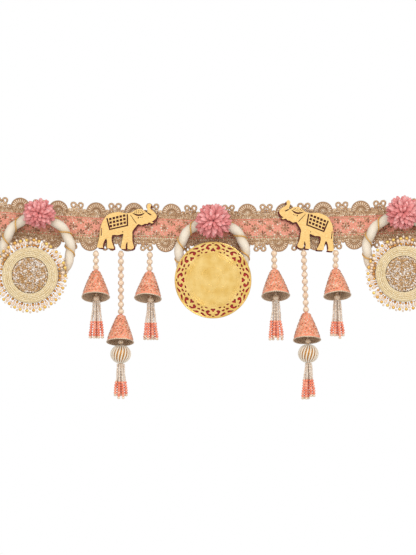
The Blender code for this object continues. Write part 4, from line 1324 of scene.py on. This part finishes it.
def build_tassels(looks):
    cones = {row[0]: row for row in STRINGS}
    for tassel in TASSELS:
        name, x, bead_z, top = tassel[0:4]
        has_ball = tassel[8]
        chance = random.Random(int(name) + 70)
        x_cone, apex, tilt = (cones[name][column] for column in (2, 6, 9))
        hollow = STRING_DEPTH + CONE_CEILING * math.sin(math.radians(tilt))
        start = world(x_cone, apex - 3.2, hollow)
        pile = Pile()
        if has_ball:
            link = Pile()
            end = world(x, bead_z - LINK_BEAD_RADIUS, BALL_DEPTH)
            path = np.linspace(start, end, 8)
            tube(link, path, 0.45, 6, shade=0.3, slot=1)
            for share, size in ((0.6, 1.3), (0.72, 1.4), (0.9, LINK_BEAD_RADIUS)):
                bead(link, start + (end - start) * share, (size, size, size), BALL_FINE)
            linked = link.piece("link_thread_" + name, [looks["pearl"], looks["clear"]])
            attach(linked, "root")
            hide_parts("link_" + name)
            depth = BALL_DEPTH
        else:
            depth = hollow + MOUTH_BEAD_FORWARD
            head = world(x, bead_z, depth)
            tube(pile, np.linspace(start, head, 4), 0.5, 6, shade=0.3)
            size = MOUTH_BEAD_RADIUS
            bead(pile, head, (size, size * 0.9, size), BALL_FINE, None, 0.85, 2)
            bead(pile, head + np.array((0.0, 0.0, 3.9)), (1.5, 1.5, 1.1), BALL_MID, None, 0.2)
        bead(pile, world(x, top + 0.6, depth), (3.6, 2.2, 0.9), BALL_MID, None, 0.3)
        count = 8
        for index in range(count):
            turn = 2.0 * math.pi * (index + 0.5 + chance.uniform(-0.12, 0.12)) / count
            strand_beads(pile, tassel, x, depth, turn, chance)
        strand_beads(pile, tassel, x, depth, math.pi * 1.5, chance, 0.3)
        beads = pile.piece("tassel_beads_" + name, [looks["clear"], looks["coral"], looks["pearl"]])
        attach(beads, "root")
        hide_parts("tassel_" + name)


def build_balls(looks):
    ribs = 18
    for tassel in TASSELS:
        name, x, bead_z = tassel[0:3]
        if not tassel[8]:
            continue
        half = BALL_HALF_HEIGHT
        base = world(x, bead_z - LINK_BEAD_RADIUS - 0.3 - half, BALL_DEPTH)
        pile = Pile()
        bead(pile, base, (BALL_RADIUS - 1.2, BALL_RADIUS - 1.2, half - 0.7), ball(36, 20), shade=0.25, slot=1)
        polar = np.linspace(0.08, math.pi - 0.08, 40)
        beading = np.cos(np.arange(len(polar)) * math.pi)
        for index in range(ribs):
            turn = 2.0 * math.pi * index / ribs + 0.22 * np.cos(polar)
            reach = (BALL_RADIUS - 0.75) * np.sin(polar)
            path = np.stack((reach * np.cos(turn), reach * np.sin(turn), (half - 0.5) * np.cos(polar)),
                axis=-1)
            # Painted shade: each rib is painted lighter on its beads and darker between them.
            size = (0.45 + 0.4 * np.sin(polar)) * (1.0 + 0.1 * beading)
            tube(pile, path + base, size, 7, shade=0.78 + 0.12 * beading)
        for end in (half - 0.5, 0.5 - half):
            bead(pile, base + np.array((0.0, 0.0, end)), (2.4, 2.4, 0.5), BALL_MID, None, 0.6)
        wound = pile.piece("ball_ribs_" + name, [looks["cloth"], looks["gold_cord"]])
        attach(wound, "root")
        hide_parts("ball_" + name)


# Floor, light and camera

def add_area(name, place, target, size, power, colour=(1.0, 1.0, 1.0)):
    data = bpy.data.lights.new(name, "AREA")
    data.shape = "RECTANGLE"
    data.size, data.size_y = size
    data.energy = power
    data.color = colour
    lamp = bpy.data.objects.new(name, data)
    lamp.location = place
    lamp.rotation_euler = (Vector(target) - Vector(place)).to_track_quat("-Z", "Y").to_euler()
    bpy.context.scene.collection.objects.link(lamp)


def build_studio():
    mesh = bpy.data.meshes.new("floor")
    mesh.from_pydata([(-2.0, -3.5, -0.62), (2.0, -3.5, -0.62), (2.0, 1.6, -0.62), (-2.0, 1.6, -0.62)], [],
        [(0, 1, 2, 3)])
    floor = bpy.data.objects.new("floor", mesh)
    bpy.context.scene.collection.objects.link(floor)
    look = Look("floor_paint", 0.8)
    look.colour(look.ramp(look.noise(300.0), (0.3, tone(236, 235, 233)), (0.7, tone(244, 243, 241))))
    mesh.materials.append(look.mat)

    back = bpy.data.worlds.new("studio")
    back.use_nodes = True
    nodes = back.node_tree.nodes
    sky = nodes["Background"]
    coords = nodes.new("ShaderNodeTexCoord")
    split = nodes.new("ShaderNodeSeparateXYZ")
    ramp = nodes.new("ShaderNodeValToRGB")
    half = nodes.new("ShaderNodeMapRange")
    half.inputs["From Min"].default_value = -1.0
    half.inputs["From Max"].default_value = 1.0
    stops = ((0.0, 0.95), (0.3, 0.8), (0.52, 0.46), (0.955, 0.46), (0.985, 1.0), (1.0, 1.0))
    elements = ramp.color_ramp.elements
    while len(elements) < len(stops):
        elements.new(0.5)
    links = back.node_tree.links
    links.new(coords.outputs["Generated"], split.inputs[0])
    links.new(split.outputs["Y"], half.inputs["Value"])
    for element, (position, value) in zip(elements, stops):
        element.position = position
        element.color = (value, value, value, 1.0)
    links.new(half.outputs[0], ramp.inputs["Fac"])
    links.new(ramp.outputs["Color"], sky.inputs["Color"])
    sky.inputs["Strength"].default_value = 1.0
    bpy.context.scene.world = back
    bpy.context.scene.view_settings.view_transform = "Standard"

    add_area("key", (0.75, -1.7, 1.15), (0.0, 0.0, -0.08), (0.9, 0.9), 15.0)
    add_area("fill", (-1.0, -1.9, 0.45), (0.0, 0.0, -0.08), (0.9, 0.9), 6.5)


def build_camera():
    data = bpy.data.cameras.new("camera")
    data.lens = 200.0
    data.sensor_width = 36.0
    data.clip_end = 50.0
    camera = bpy.data.objects.new("camera", data)
    distance = 0.555 * data.lens / data.sensor_width
    camera.location = (-0.005, -distance, -0.0725)
    camera.rotation_euler = (math.radians(90.0), 0.0, 0.0)
    bpy.context.scene.collection.objects.link(camera)
    bpy.context.scene.camera = camera


def build_all():
    looks = make_looks()
    build_camera()
    build_studio()
    build_band(looks)
    build_rings(looks)
    build_flowers(looks)
    build_gold_disc(looks)
    build_pearl_discs(looks)
    build_elephants(looks)
    build_strings(looks)
    build_cones(looks)
    build_tassels(looks)
    build_balls(looks)


build_all()
